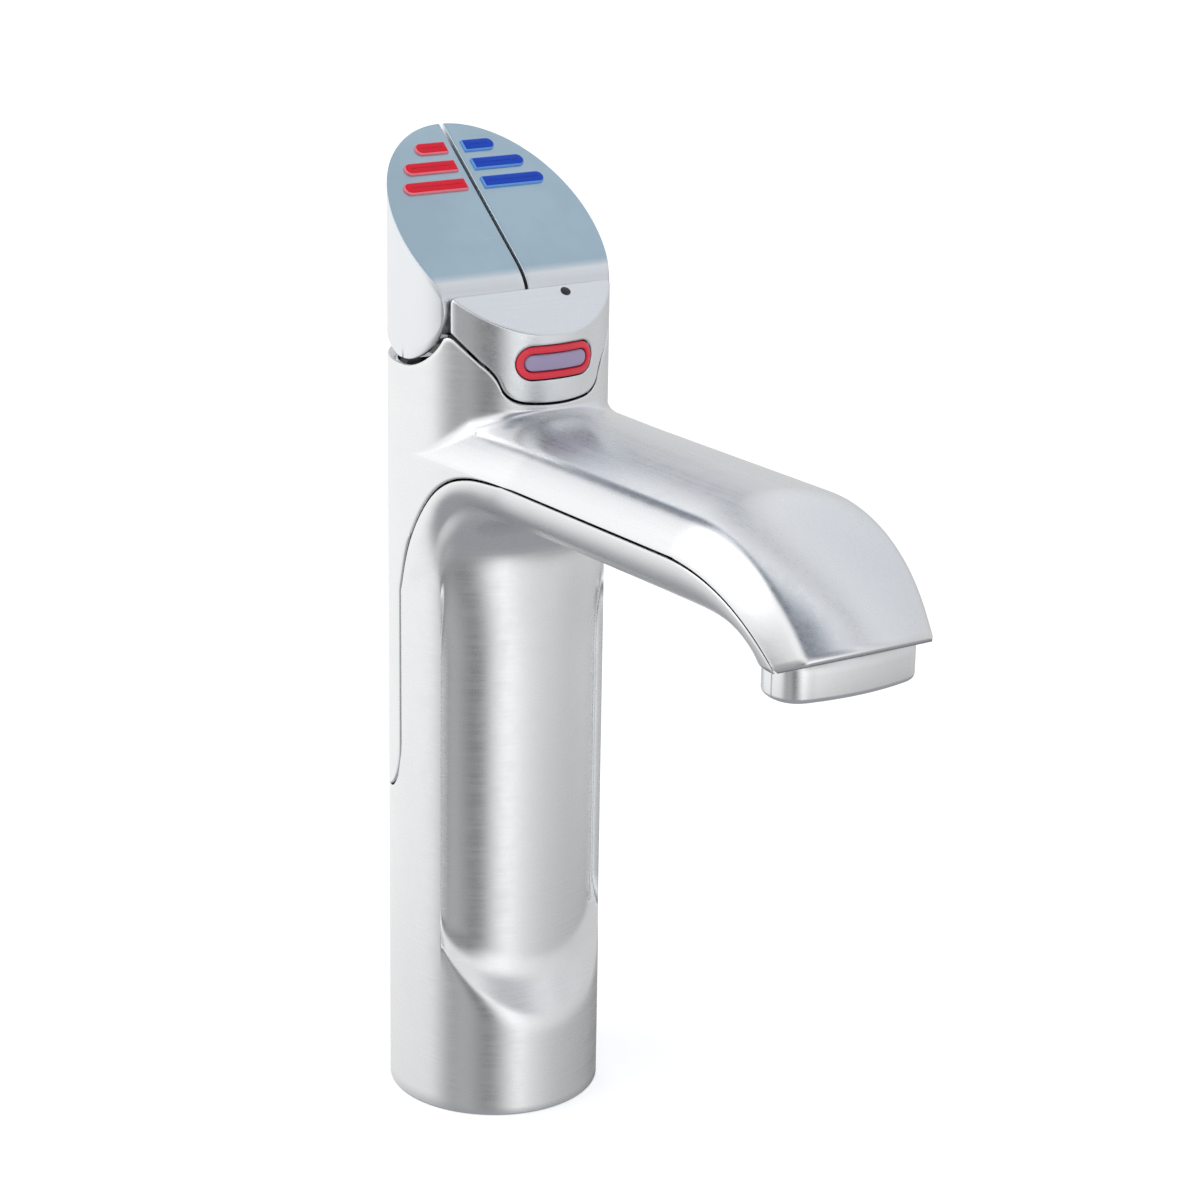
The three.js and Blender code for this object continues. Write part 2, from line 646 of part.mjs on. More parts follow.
function bodyCastings() {
  const outside = columnSolid().subtract(recessTool()).add(archSolid()).add(spoutSolid(0));
  const inside = columnHollow().add(spoutHollow());
  const mouth = prismZ(outletOutline(-CLEARANCE), OUTLET_BOTTOM, OUTLET_TOP + CLEARANCE);
  const window = prismY(fasciaOutline(FASCIA_GAP), -FAR, -BODY_RADIUS + FASCIA_DEPTH);
  const shell = outside
    .subtract(inside)
    .add(screwLugs())
    .subtract(screwHoles())
    .subtract(mouth)
    .subtract(window)
    .subtract(aboveSaddle());
  const line = seamLine();
  const band = prismX(bandAround(line, SEAM), -FAR, FAR);
  const below = prismX(
    new THREE.Shape([...line, new THREE.Vector2(-FAR, -FAR), new THREE.Vector2(FAR, -FAR)]),
    -FAR, FAR,
  );
  return {
    lower: shell.intersect(below).subtract(band),
    upper: shell.subtract(below).subtract(band),
  };
}

// ---------------------------------------------------------------- levers

// Side view of a lever; the inset makes its hollow, which is open below.
function leverProfile(inset) {
  const slopeLength = Math.hypot(1, FACE_SLOPE);
  const faceHeight = FACE_HEIGHT - inset * slopeLength;
  const lobe = LOBE_RADIUS - inset;
  const faceDistance = (faceHeight - PIVOT_HEIGHT) / slopeLength;
  const normalAngle = Math.PI / 2 + Math.atan(FACE_SLOPE);
  const meet = normalAngle + Math.acos(Math.min(1, faceDistance / lobe));
  const tail = 1.5 * Math.PI + radians(LEVER_TAIL_SLOPE);
  const shape = new THREE.Shape();
  const back = BODY_RADIUS + 1;
  const tailY = Math.cos(tail) * lobe;
  const tailZ = PIVOT_HEIGHT + Math.sin(tail) * lobe;
  shape.moveTo(back, tailZ + (back - tailY) * Math.tan(radians(LEVER_TAIL_SLOPE)));
  shape.lineTo(back, faceHeight + FACE_SLOPE * back);
  shape.absarc(0, PIVOT_HEIGHT, lobe, meet, tail);
  return shape;
}

const pivot = [0, PIVOT_HEIGHT];

// The right-hand lever; the left one is its mirror image.
function leverSolid(side, bars) {
  const inner = LEVER_SPLIT / 2;
  const reach = (from, to) => (side > 0 ? [from, to] : [-to, -from]);
  const barrel = rodZ(BODY_RADIUS, 0, FAR, 0, 0, COLUMN_SIDES);
  const inBarrel = rodZ(BODY_RADIUS - LEVER_WALL, 0, FAR, 0, 0, COLUMN_SIDES);
  const midBarrel = rodZ(BODY_RADIUS - LEVER_WALL / 2, 0, FAR, 0, 0, COLUMN_SIDES);
  const outer = prismX(leverProfile(0), ...reach(inner, FAR), 12).intersect(barrel);
  const openFloor = box(...reach(inner + LEVER_WALL, FAR), -8, BODY_RADIUS - 6, 0, PIVOT_HEIGHT);
  const hollow = prismX(leverProfile(LEVER_WALL), ...reach(inner + LEVER_WALL, FAR), 12)
    .add(openFloor.intersect(rodX(BODY_RADIUS, -FAR, FAR, ...pivot)))
    .intersect(inBarrel);
  const hubs = rodX(HUB_RADIUS, ...reach(inner, INNER_HUB_END), ...pivot)
    .add(rodX(HUB_RADIUS, ...reach(OUTER_HUB_START, FAR), ...pivot).intersect(midBarrel));
  const bore = rodX(AXLE_RADIUS + CLEARANCE, ...reach(0, AXLE_HALF_LENGTH + CLEARANCE), ...pivot);
  return outer.subtract(hollow).add(hubs).subtract(bore).subtract(union(bars));
}

// A bar drawn flat: square at the groove, round at the outside; then tilted onto the face.
function barSolid(side, row, grow, bottom, top) {
  const width = BAR_WIDTH / 2 + grow;
  const from = BAR_INNER_END - grow;
  const to = BAR_OUTER_ENDS[row] - BAR_WIDTH / 2;
  const shape = new THREE.Shape();
  shape.moveTo(from, -width);
  shape.lineTo(to, -width);
  shape.absarc(to, 0, width, -Math.PI / 2, Math.PI / 2);
  shape.lineTo(from, width);
  const bar = extruded(shape, top - bottom, 8);
  bar.translate(0, 0, bottom);
  if (side < 0) {
    bar.rotateY(Math.PI).translate(0, 0, top + bottom);
  }
  const y = BAR_FIRST - BAR_PITCH * row;
  bar.rotateX(Math.atan(FACE_SLOPE)).translate(0, y, FACE_HEIGHT + FACE_SLOPE * y);
  return solid(bar);
}

// ---------------------------------------------------------------- fascia and button

const facetRun = BODY_RADIUS - FASCIA_TOP_FORWARD;
const FACET_ANGLE = Math.atan((FASCIA_TOP - FACET_FOOT) / facetRun);

// The column's outside with the sloping facet cut on it; the inset gives the fascia's inside.
function facetedBarrel(inset) {
  const drop = inset / Math.cos(FACET_ANGLE);
  const shape = polygon([
    [-FAR, FASCIA_TOP - drop - (FAR - FASCIA_TOP_FORWARD) * Math.tan(FACET_ANGLE)],
    [-FASCIA_TOP_FORWARD, FASCIA_TOP - drop],
    [FAR, FASCIA_TOP - drop],
    [FAR, FAR],
    [-FAR, FAR],
  ]);
  return rodZ(BODY_RADIUS - inset, 0, FAR, 0, 0, COLUMN_SIDES).subtract(prismX(shape, -FAR, FAR));
}

// A rod square to the facet, through the indicator's place.
function indicatorRod(radius, depth, proud) {
  const z = FACET_FOOT + (BODY_RADIUS - INDICATOR_FORWARD) * Math.tan(FACET_ANGLE);
  const rod = new THREE.CylinderGeometry(radius, radius, depth + proud, 20);
  rod.translate(0, (proud - depth) / 2, 0);
  rod.rotateX(Math.PI / 2 + FACET_ANGLE);
  return solid(rod.translate(INDICATOR_X, -INDICATOR_FORWARD, z));
}

function fasciaSolid() {
  return facetedBarrel(0)
    .subtract(facetedBarrel(FASCIA_WALL))
    .intersect(prismY(fasciaOutline(0), -FAR, -BODY_RADIUS + FASCIA_DEPTH))
    .subtract(rodX(SADDLE_RADIUS - 0.6, -FAR, FAR, ...pivot, 48))
    .subtract(prismY(pill(BUTTON_LENGTH, BUTTON_WIDTH, 0, BUTTON_HEIGHT), -FAR, 0))
    .subtract(indicatorRod(INDICATOR_RADIUS + CLEARANCE / 2, FASCIA_WALL * 3, 5));
}

const RING_LENGTH = BUTTON_LENGTH - 2 * CLEARANCE;
const RING_HEIGHT = BUTTON_WIDTH - 2 * CLEARANCE;
const CAP_LENGTH = RING_LENGTH - 2 * RING_WIDTH - 2 * CLEARANCE;
const CAP_HEIGHT = RING_HEIGHT - 2 * RING_WIDTH - 2 * CLEARANCE;
const CAP_BACK = BODY_RADIUS - CAP_THICKNESS;

function ringSolid() {
  const outer = pill(RING_LENGTH, RING_HEIGHT, 0, BUTTON_HEIGHT);
  outer.holes.push(pill(CAP_LENGTH + 2 * CLEARANCE, CAP_HEIGHT + 2 * CLEARANCE, 0, BUTTON_HEIGHT));
  return prismY(outer, -FAR, -CAP_BACK)
    .intersect(rodZ(BODY_RADIUS + 0.3, 0, FAR, 0, 0, COLUMN_SIDES));
}

function capSolid() {
  return prismY(pill(CAP_LENGTH, CAP_HEIGHT, 0, BUTTON_HEIGHT), -FAR, -CAP_BACK)
    .intersect(rodZ(BODY_RADIUS + 0.2, 0, FAR, 0, 0, COLUMN_SIDES));
}

// ---------------------------------------------------------------- head

const DECK_TOP = DECK_BOTTOM + DECK_THICKNESS;
const DECK_RADIUS = HEAD_RADIUS - CLEARANCE;
const LEAD_PLACE = [0, 11.5];
const BUTTON_BOARD_FRONT = FRONT_POST + CLEARANCE + BOARD_THICKNESS;
const FRONT_WALL_TOP = 221;
const FRONT_WALL_HALF = 15;

function chassisSolid() {
  const deck = rodZ(DECK_RADIUS, DECK_BOTTOM, DECK_TOP, 0, 0, COLUMN_SIDES)
    .subtract(box(-FAR, FAR, -FAR, -BUTTON_BOARD_FRONT - CLEARANCE, 0, FAR));
  const ears = [-1, 1].map((side) => {
    const from = side > 0 ? EAR_START : -EAR_START - EAR_THICKNESS;
    return box(from, from + EAR_THICKNESS, -EAR_HALF_WIDTH, EAR_HALF_WIDTH, DECK_BOTTOM, PIVOT_HEIGHT)
      .add(rodX(EAR_HALF_WIDTH, from, from + EAR_THICKNESS, ...pivot))
      .subtract(rodX(AXLE_RADIUS + CLEARANCE, from - 1, from + EAR_THICKNESS + 1, ...pivot));
  });
  const frontWall = box(
    -FRONT_WALL_HALF, FRONT_WALL_HALF,
    -FRONT_POST, -FRONT_POST + FRONT_POST_THICKNESS,
    DECK_BOTTOM, FRONT_WALL_TOP,
  );
  const shanks = chassisScrewPlaces.map((place) => rodZ(SCREW_RADIUS + CLEARANCE, 0, FAR, ...place));
  const boardRoom = box(
    -FRONT_WALL_HALF - 1, FRONT_WALL_HALF + 1,
    -FAR, -FRONT_POST,
    DECK_BOTTOM + 2 - CLEARANCE, FAR,
  );
  return union([deck.subtract(boardRoom), ...ears, frontWall])
    .subtract(union(shanks))
    .subtract(rodZ(LEAD_RADIUS + CLEARANCE, 0, FAR, ...LEAD_PLACE));
}

// A round-headed screw along Z, its head's underside at the given height.
function screwSolid(x, y, seat, length, headSide) {
  const head = headSide > 0 ? [seat, seat + SCREW_HEAD_HEIGHT] : [seat - SCREW_HEAD_HEIGHT, seat];
  const shank = headSide > 0 ? [seat - length, seat + 0.5] : [seat - 0.5, seat + length];
  const slotSide = headSide > 0 ? [head[1] - 1, head[1] + 1] : [head[0] - 1, head[0] + 1];
  return rodZ(SCREW_HEAD_RADIUS, ...head, x, y)
    .add(rodZ(SCREW_RADIUS, ...shank, x, y))
    .subtract(rodZ(SCREW_HEAD_RADIUS / 2, ...slotSide, x, y, 6));
}

function sleeve(side, from, to, outer, inner) {
  const ends = side > 0 ? [from, to] : [-to, -from];
  return rodX(outer, ...ends, ...pivot).subtract(rodX(inner, -FAR, FAR, ...pivot));
}

// ---------------------------------------------------------------- base

function basePlate() {
  const rebate = rodZ(DECK_RADIUS + 1, -1, SEAL_HEIGHT + CLEARANCE, 0, 0, COLUMN_SIDES)
    .subtract(rodZ(DECK_RADIUS - SEAL_WIDTH - 2 * CLEARANCE, -2, 5, 0, 0, COLUMN_SIDES));
  const through = [
    rodZ(TUBE_RADIUS + CLEARANCE, -1, FAR, -BASE_TUBE_X, BASE_TUBE_Y),
    rodZ(TUBE_RADIUS + CLEARANCE, -1, FAR, BASE_TUBE_X, BASE_TUBE_Y),
    rodZ(VENT_RADIUS + CLEARANCE, -1, FAR, 0, VENT_Y),
    rodZ(LEAD_RADIUS + CLEARANCE, -1, FAR, ...LEAD_PLACE),
    ...[-1, 1].map((side) => rodZ(STUD_HOLE_RADIUS, -1, STUD_DEPTH, (side * STUD_SPACING) / 2, 0)),
    ...baseScrewPlaces.flatMap(([x, y]) => [
      rodZ(SCREW_RADIUS + CLEARANCE, -1, FAR, x, y),
      rodZ(SCREW_HEAD_RADIUS + CLEARANCE, -1, SCREW_HEAD_HEIGHT + 2 * CLEARANCE, x, y),
    ]),
  ];
  return rodZ(DECK_RADIUS, 0, BASE_THICKNESS, 0, 0, COLUMN_SIDES).subtract(rebate).subtract(union(through));
}

function baseSeal() {
  const outer = DECK_RADIUS - CLEARANCE;
  return rodZ(outer, 0, SEAL_HEIGHT, 0, 0, COLUMN_SIDES)
    .subtract(rodZ(outer - SEAL_WIDTH, -1, 5, 0, 0, COLUMN_SIDES));
}

// ---------------------------------------------------------------- tubes and outlet

const BASE_TUBE_X = 9;
const BASE_TUBE_Y = 6;
const VENT_Y = -9;
const TUBE_START = 0.5;
const OUTLET_CENTRE = -(OUTLET_FRONT + OUTLET_BACK) / 2;
const TUBE_END = OUTLET_TOP + 2 * CLEARANCE;

// Route of a water tube: up the column, along the spout and down into the outlet block.
function waterRoute(side, baseY) {
  return [
    [side * BASE_TUBE_X, baseY, TUBE_START],
    [side * BASE_TUBE_X, baseY, PIVOT_HEIGHT * 0.35],
    [side * BASE_TUBE_X, baseY - 1, SPOUT_FLOOR - 26],
    [side * TUBE_SPREAD, -12, TUBE_HEIGHT - 8],
    [side * TUBE_SPREAD, -34, TUBE_HEIGHT],
    [side * TUBE_SPREAD, -NOSE_START * 0.65, TUBE_HEIGHT],
    [side * TUBE_SPREAD, -NOSE_START - 4, TUBE_HEIGHT],
    [side * (TUBE_SPREAD - 1), OUTLET_CENTRE + 7, TUBE_HEIGHT - 2],
    [side * NOZZLE_SPREAD, OUTLET_CENTRE, TUBE_END + TUBE_RADIUS],
    [side * NOZZLE_SPREAD, OUTLET_CENTRE, TUBE_END],
  ];
}

function leadRoute() {
  const [x, y] = LEAD_PLACE;
  return [
    [x, y, TUBE_START],
    [x, y, SPOUT_FLOOR * 0.3],
    [x + 3, y + 4, SPOUT_FLOOR * 0.6],
    [x, y, SPOUT_FLOOR],
    [x, y, DECK_TOP],
  ];
}

const CLIP_FORWARD = NOSE_START * 0.65;
const CLIP_LENGTH = 8;

// A moulded clip that holds the tubes side by side on the spout's floor.
function tubeClip() {
  const holes = [-1, 0, 1].map((place) => (
    rodY(
      (place === 0 ? VENT_RADIUS : TUBE_RADIUS) + CLEARANCE,
      -FAR, 0, place * TUBE_SPREAD, TUBE_HEIGHT,
    )
  ));
  return box(
    -TUBE_SPREAD - 5, TUBE_SPREAD + 5,
    -CLIP_FORWARD - CLIP_LENGTH / 2, -CLIP_FORWARD + CLIP_LENGTH / 2,
    SPOUT_FLOOR + BODY_WALL + CLEARANCE, TUBE_HEIGHT + 4.5,
  ).subtract(union(holes));
}

const NOZZLE_SEAT = OUTLET_BOTTOM + CLEARANCE + NOZZLE_THICKNESS + CLEARANCE;
const SEAL_GROOVE = [OUTLET_TOP - 3, OUTLET_TOP - 1.2];
const SEAL_INSET = 1.2;

function outletBlock() {
  const bore = rodZ(NOZZLE_RADIUS + CLEARANCE, 0, NOZZLE_SEAT + 3, 0, OUTLET_CENTRE, 24);
  const channels = [-1, 0, 1].map((place) => (
    rodZ(1.2, NOZZLE_SEAT, FAR, place * NOZZLE_SPREAD, OUTLET_CENTRE, 12)
  ));
  const groove = prismZ(outletOutline(-1), ...SEAL_GROOVE)
    .subtract(prismZ(outletOutline(SEAL_INSET + CLEARANCE), 0, FAR));
  return prismZ(outletOutline(0), OUTLET_BOTTOM, OUTLET_TOP)
    .subtract(bore)
    .subtract(union(channels))
    .subtract(groove);
}

function outletSeal() {
  return prismZ(outletOutline(0), SEAL_GROOVE[0] + CLEARANCE, SEAL_GROOVE[1] - CLEARANCE)
    .subtract(prismZ(outletOutline(SEAL_INSET), 0, FAR));
}

function sprayNozzle() {
  const jets = [rodZ(JET_RADIUS, 0, FAR, 0, OUTLET_CENTRE, 10)];
  for (let i = 0; i < JET_COUNT; i += 1) {
    const angle = (i / JET_COUNT) * 2 * Math.PI;
    const ring = NOZZLE_RADIUS * 0.6;
    jets.push(rodZ(JET_RADIUS, 0, FAR, Math.cos(angle) * ring, OUTLET_CENTRE + Math.sin(angle) * ring, 10));
  }
  const bottom = OUTLET_BOTTOM + CLEARANCE;
  return rodZ(NOZZLE_RADIUS, bottom, bottom + NOZZLE_THICKNESS, 0, OUTLET_CENTRE, 24).subtract(union(jets));
}

// ---------------------------------------------------------------- assembly

const group = new THREE.Group();

function place(name, manifold, material) {
  const mesh = new THREE.Mesh(geometryOf(manifold), material);
  mesh.name = name;
  group.add(mesh);
}

const castings = bodyCastings();
place('lower_casting', castings.lower, brushedSteel());
place('upper_casting', castings.upper, brushedSteel());
place('base_plate', basePlate(), brass());
place('base_seal', baseSeal(), blackRubber());
baseScrewPlaces.forEach(([x, y], i) => {
  const seat = SCREW_HEAD_HEIGHT + CLEARANCE;
  place(`base_screw_${i + 1}`, screwSolid(x, y, seat, BASE_LUG_TOP - 2 - seat, -1), brushedSteel());
});

place('boiling_tube', tube(waterRoute(-1, BASE_TUBE_Y), TUBE_RADIUS), silicone());
place('chilled_tube', tube(waterRoute(1, BASE_TUBE_Y), TUBE_RADIUS), silicone());
place('vent_tube', tube(waterRoute(0, VENT_Y), VENT_RADIUS), silicone());
place('sensor_lead', tube(leadRoute(), LEAD_RADIUS, 20), blackRubber());
place('tube_clip', tubeClip(), blackPlastic());

place('outlet_block', outletBlock(), brushedSteel());
place('outlet_seal', outletSeal(), blackRubber());
place('spray_nozzle', sprayNozzle(), satinSteel());

place('head_chassis', chassisSolid(), blackPlastic());
place('lever_axle', rodX(AXLE_RADIUS, -AXLE_HALF_LENGTH, AXLE_HALF_LENGTH, ...pivot), satinSteel());
for (const [side, name, inlay] of [[-1, 'boiling', redInlay], [1, 'chilled', blueInlay]]) {
  const rows = BAR_OUTER_ENDS.map((end, row) => row);
  const pockets = rows.map((row) => barSolid(side, row, CLEARANCE / 2, -BAR_POCKET, 3));
  place(`${name}_lever`, leverSolid(side, pockets), satinSteel());
  rows.forEach((row) => {
    place(`${name}_bar_${row + 1}`, barSolid(side, row, 0, -BAR_POCKET + CLEARANCE, BAR_PROUD), inlay());
  });
  place(
    `${name}_spacer`,
    sleeve(side, INNER_HUB_END + CLEARANCE, EAR_START - CLEARANCE, SPACER_RADIUS, AXLE_RADIUS + CLEARANCE),
    blackPlastic(),
  );
  const springStart = EAR_START + EAR_THICKNESS + CLEARANCE;
  const springEnd = OUTER_HUB_START - CLEARANCE;
  place(
    `${name}_return_spring`,
    sleeve(side, springStart, springEnd, SPRING_RADIUS, AXLE_RADIUS + CLEARANCE),
    brushedSteel(),
  );
  const magnetStart = LEVER_SPLIT / 2 + LEVER_WALL + CLEARANCE;
  const magnetEnds = [side * magnetStart, side * (magnetStart + MAGNET_THICKNESS)].sort((a, b) => a - b);
  place(`${name}_magnet`, rodX(MAGNET_RADIUS, ...magnetEnds, ...MAGNET_PLACE), satinSteel());
}
chassisScrewPlaces.forEach(([x, y], i) => {
  const seat = DECK_TOP + CLEARANCE;
  const name = `chassis_screw_${['boiling', 'chilled'][i]}`;
  place(name, screwSolid(x, y, seat, seat - CHASSIS_LUG_BOTTOM - 2, 1), satinSteel());
});
place(
  'control_board',
  box(
    -CONTROL_BOARD_HALF_WIDTH, CONTROL_BOARD_HALF_WIDTH,
    CONTROL_BOARD_FRONT, CONTROL_BOARD_BACK,
    DECK_TOP + CLEARANCE, DECK_TOP + CLEARANCE + BOARD_THICKNESS,
  ),
  boardGreen(),
);

place('fascia', fasciaSolid(), satinSteel());
place('indicator_lens', indicatorRod(INDICATOR_RADIUS - CLEARANCE / 2, FASCIA_WALL, -0.4), blackPlastic());
place('button_light_ring', ringSolid(), glowingRing());
place('safety_button', capSolid(), buttonGrey());
place(
  'button_board',
  box(
    -FRONT_WALL_HALF, FRONT_WALL_HALF,
    -BUTTON_BOARD_FRONT, -FRONT_POST - CLEARANCE,
    DECK_BOTTOM + 2, FRONT_WALL_TOP + 1,
  ),
  boardGreen(),
);
const switchFront = CAP_BACK - BUTTON_TRAVEL - CLEARANCE;
place(
  'button_switch',
  box(-3, 3, -switchFront, -BUTTON_BOARD_FRONT - CLEARANCE, BUTTON_HEIGHT - 3, BUTTON_HEIGHT + 3),
  blackPlastic(),
);

export default group;
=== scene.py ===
"""Boiling water tap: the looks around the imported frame, laid out as an add-on and run as a script.

Shapes are worked out in millimetres, in the part's own frame: +Z up, the spout points along -Y, and the
origin is on the column's axis at the worktop. "Forward" below is the distance along -Y.
"""

import math

import bmesh
import bpy
import numpy as np
from mathutils import Matrix, Vector


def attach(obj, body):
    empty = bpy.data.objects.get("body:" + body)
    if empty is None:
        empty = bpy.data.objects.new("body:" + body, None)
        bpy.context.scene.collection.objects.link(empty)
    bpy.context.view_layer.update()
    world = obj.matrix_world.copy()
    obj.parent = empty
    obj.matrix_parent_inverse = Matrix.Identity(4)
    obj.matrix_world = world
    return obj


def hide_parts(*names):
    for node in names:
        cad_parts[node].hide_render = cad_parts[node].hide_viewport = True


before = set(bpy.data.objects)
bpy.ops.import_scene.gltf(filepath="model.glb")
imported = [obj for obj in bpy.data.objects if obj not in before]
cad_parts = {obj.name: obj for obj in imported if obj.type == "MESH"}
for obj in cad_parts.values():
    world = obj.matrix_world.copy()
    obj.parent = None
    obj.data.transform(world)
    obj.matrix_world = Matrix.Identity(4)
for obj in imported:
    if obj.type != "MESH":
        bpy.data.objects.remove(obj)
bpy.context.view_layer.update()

bl_info = {
    "name": "Boiling Water Tap",
    "version": (1, 0, 0),
    "blender": (4, 5, 0),
    "location": "3D View > Sidebar > Tap",
    "description": "Builds a brushed steel boiling water tap with tilt levers and a safety button",
    "category": "Add Mesh",
}

MM = 0.001                        # a millimetre in metres; the lengths below are in millimetres
MERGE = 0.02                      # distance within which points of a mesh become one
COLUMN = 30.0                     # radius of the column
PIVOT_HEIGHT = 230.5              # height of the levers' hinges
SPOUT_TOP = 200.0                 # height of the spout's ridges
SPOUT_FLOOR = 178.0               # height of its underside
NOSE_START = 120.0                # forward distance at which its nose starts to turn down


# ---------------------------------------------------------------- settings

class TapBodySettings(bpy.types.PropertyGroup):
    """Sizes of the two castings, the joint line between them and the fascia's wall."""

    joint_gap: bpy.props.FloatProperty(
        name="Joint line", description="Width of the line between the two castings",
        default=0.0005, unit="LENGTH")
    edge_radius: bpy.props.FloatProperty(
        name="Edge radius", description="Rounding of the castings' edges along gaps",
        default=0.0005, unit="LENGTH")
    recess_depth: bpy.props.FloatProperty(
        name="Recess depth", description="Depth of the front recess on its centre line",
        default=0.0055, unit="LENGTH")
    crown: bpy.props.FloatProperty(
        name="Spout crown", description="Rise of the spout's top between its ridges",
        default=0.004, unit="LENGTH")
    lower_wall: bpy.props.FloatProperty(
        name="Lower wall", description="Thickness of the lower casting's shown wall",
        default=0.0003, unit="LENGTH")
    wall: bpy.props.FloatProperty(
        name="Upper wall", description="Thickness of the upper casting's shown wall",
        default=0.0028, unit="LENGTH")
    fascia_wall: bpy.props.FloatProperty(
        name="Fascia wall", description="Thickness of the fascia's shown wall",
        default=0.0013, unit="LENGTH")


class TapHeadSettings(bpy.types.PropertyGroup):
    """Sizes of the levers, fascia and button."""

    lever_edge: bpy.props.FloatProperty(
        name="Lever edge radius", description="Rounding of the levers' edges",
        default=0.00035, unit="LENGTH")
    lip_radius: bpy.props.FloatProperty(
        name="Lever lip radius", description="Rounding where the sloping face turns down",
        default=0.009, unit="LENGTH")
    bar_height: bpy.props.FloatProperty(
        name="Bar height", description="How far the colour bars stand out",
        default=0.0007, unit="LENGTH")
    ring_proud: bpy.props.FloatProperty(
        name="Ring height", description="How far the light ring stands out of the fascia",
        default=0.0003, unit="LENGTH")


class TapFinishSettings(bpy.types.PropertyGroup):
    """Colours and finishes."""

    steel: bpy.props.FloatVectorProperty(
        name="Casting steel", description="Colour of the brushed castings",
        default=(0.86, 0.865, 0.875), subtype="COLOR")
    lever_steel: bpy.props.FloatVectorProperty(
        name="Lever steel", description="Colour of the levers and fascia",
        default=(0.83, 0.85, 0.87), subtype="COLOR")
    # Painted reflection: the levers' sloping face is the same steel as the rest of the lever; this darker,
    # bluer colour stands in for the dark studio it reflects.
    face_reflection_steel: bpy.props.FloatVectorProperty(
        name="Lever face steel", description="Colour of the levers' sloping face",
        default=(0.42, 0.54, 0.62), subtype="COLOR")
    steel_roughness: bpy.props.FloatProperty(
        name="Steel roughness", description="Roughness of the brushed castings",
        default=0.27, subtype="FACTOR")
    red: bpy.props.FloatVectorProperty(
        name="Boiling red", description="Colour of the boiling bars",
        default=(0.80, 0.003, 0.026), subtype="COLOR")
    blue: bpy.props.FloatVectorProperty(
        name="Chilled blue", description="Colour of the chilled bars",
        default=(0.0, 0.055, 0.54), subtype="COLOR")
    button: bpy.props.FloatVectorProperty(
        name="Button", description="Colour of the safety button",
        default=(0.40, 0.34, 0.52), subtype="COLOR")


class TapStageSettings(bpy.types.PropertyGroup):
    """Camera, floor and lights."""

    azimuth: bpy.props.FloatProperty(
        name="Azimuth", description="Camera angle from the front",
        default=math.radians(-32.48), subtype="ANGLE")
    elevation: bpy.props.FloatProperty(
        name="Elevation", description="Camera angle above the worktop",
        default=math.radians(17.44), subtype="ANGLE")
    distance: bpy.props.FloatProperty(
        name="Distance", description="Camera distance from its target",
        default=0.8413, unit="LENGTH")
    target_height: bpy.props.FloatProperty(
        name="Target height", description="Height of the camera's target on the column's axis",
        default=0.14362, unit="LENGTH")


def millimetres(value):
    """A length of the settings, which are in metres."""
    return value / MM


# ---------------------------------------------------------------- number helpers

def smoothstep(t):
    """3t^2 - 2t^3 between 0 and 1."""
    t = np.clip(t, 0.0, 1.0)
    return t * t * (3.0 - 2.0 * t)


def soft_min(a, b, width):
    """The smaller of two numbers, rounded over where they are closer than the width."""
    h = np.clip(0.5 + 0.5 * (b - a) / width, 0.0, 1.0)
    return b + (a - b) * h - width * h * (1.0 - h)


def circle(x, radius=COLUMN):
    """Forward distance, at x, of a circle about the column's axis."""
    return np.sqrt(np.maximum(radius ** 2 - x ** 2, 0))


def stacked(*parts):
    """Points from their coordinates, any of which can be one number for all."""
    return np.stack(np.broadcast_arrays(*parts), axis=-1)


def way_along(points):
    """How far along a polyline each of its points is."""
    steps = np.linalg.norm(np.diff(points, axis=0), axis=1)
    return np.concatenate([[0.0], np.cumsum(steps)])


def resample(points, fractions):
    """Points of a polyline at shares of its length."""
    along = way_along(points)
    return stacked(*(np.interp(fractions * along[-1], along, values) for values in points.T))


def both_sides(half):
    """A closed outline from its right half, which starts and ends on the middle line."""
    return np.vstack([half, (half * [-1, 1])[::-1][1:-1]])


def curve_through(points, count=400):
    """Catmull-Rom curve through points, as an evenly spaced polyline."""
    p = np.asarray(points, float)
    p = np.vstack([2 * p[0] - p[1], p, 2 * p[-1] - p[-2]])
    spans = len(p) - 3
    t = np.linspace(0, spans, 24 * spans + 1)
    i = np.minimum(t.astype(int), spans - 1)
    u = (t - i)[:, None]
    a, b, c, d = p[i], p[i + 1], p[i + 2], p[i + 3]
    curve = 0.5 * (2 * b + (c - a) * u + (2 * a - 5 * b + 4 * c - d) * u ** 2
                   + (3 * b - 3 * c + d - a) * u ** 3)
    return resample(curve, np.linspace(0, 1, count))


def bezier(a, b, c, t):
    """Quadratic curve (1-t)^2 a + 2t(1-t) b + t^2 c."""
    a, b, c = (np.asarray(v, float) for v in (a, b, c))
    t = np.asarray(t)[..., None]
    return (1 - t) ** 2 * a + 2 * t * (1 - t) * b + t ** 2 * c


# ---------------------------------------------------------------- mesh helpers

def grid_faces(rows, columns, start, wrap=False):
    """Quads of a grid of points, row by row; wrap joins the last column to the first."""
    last = columns if wrap else columns - 1
    r, c = np.meshgrid(np.arange(rows - 1), np.arange(last), indexing="ij")
    n = (c + 1) % columns
    near, far = r * columns, (r + 1) * columns
    return np.stack([near + c, near + n, far + n, far + c], axis=-1).reshape(-1, 4) + start


def vectors(items, key):
    """A vector property of all vertices or faces, as rows of three."""
    values = np.zeros(len(items) * 3)
    items.foreach_get(key, values)
    return values.reshape(-1, 3)


def both_halves(grids):
    """Open grids of points from grids of (x, forward, height), each with its mirror image."""
    return [(grid * np.array([side, -1, 1]), False) for grid in grids for side in (1, -1)]


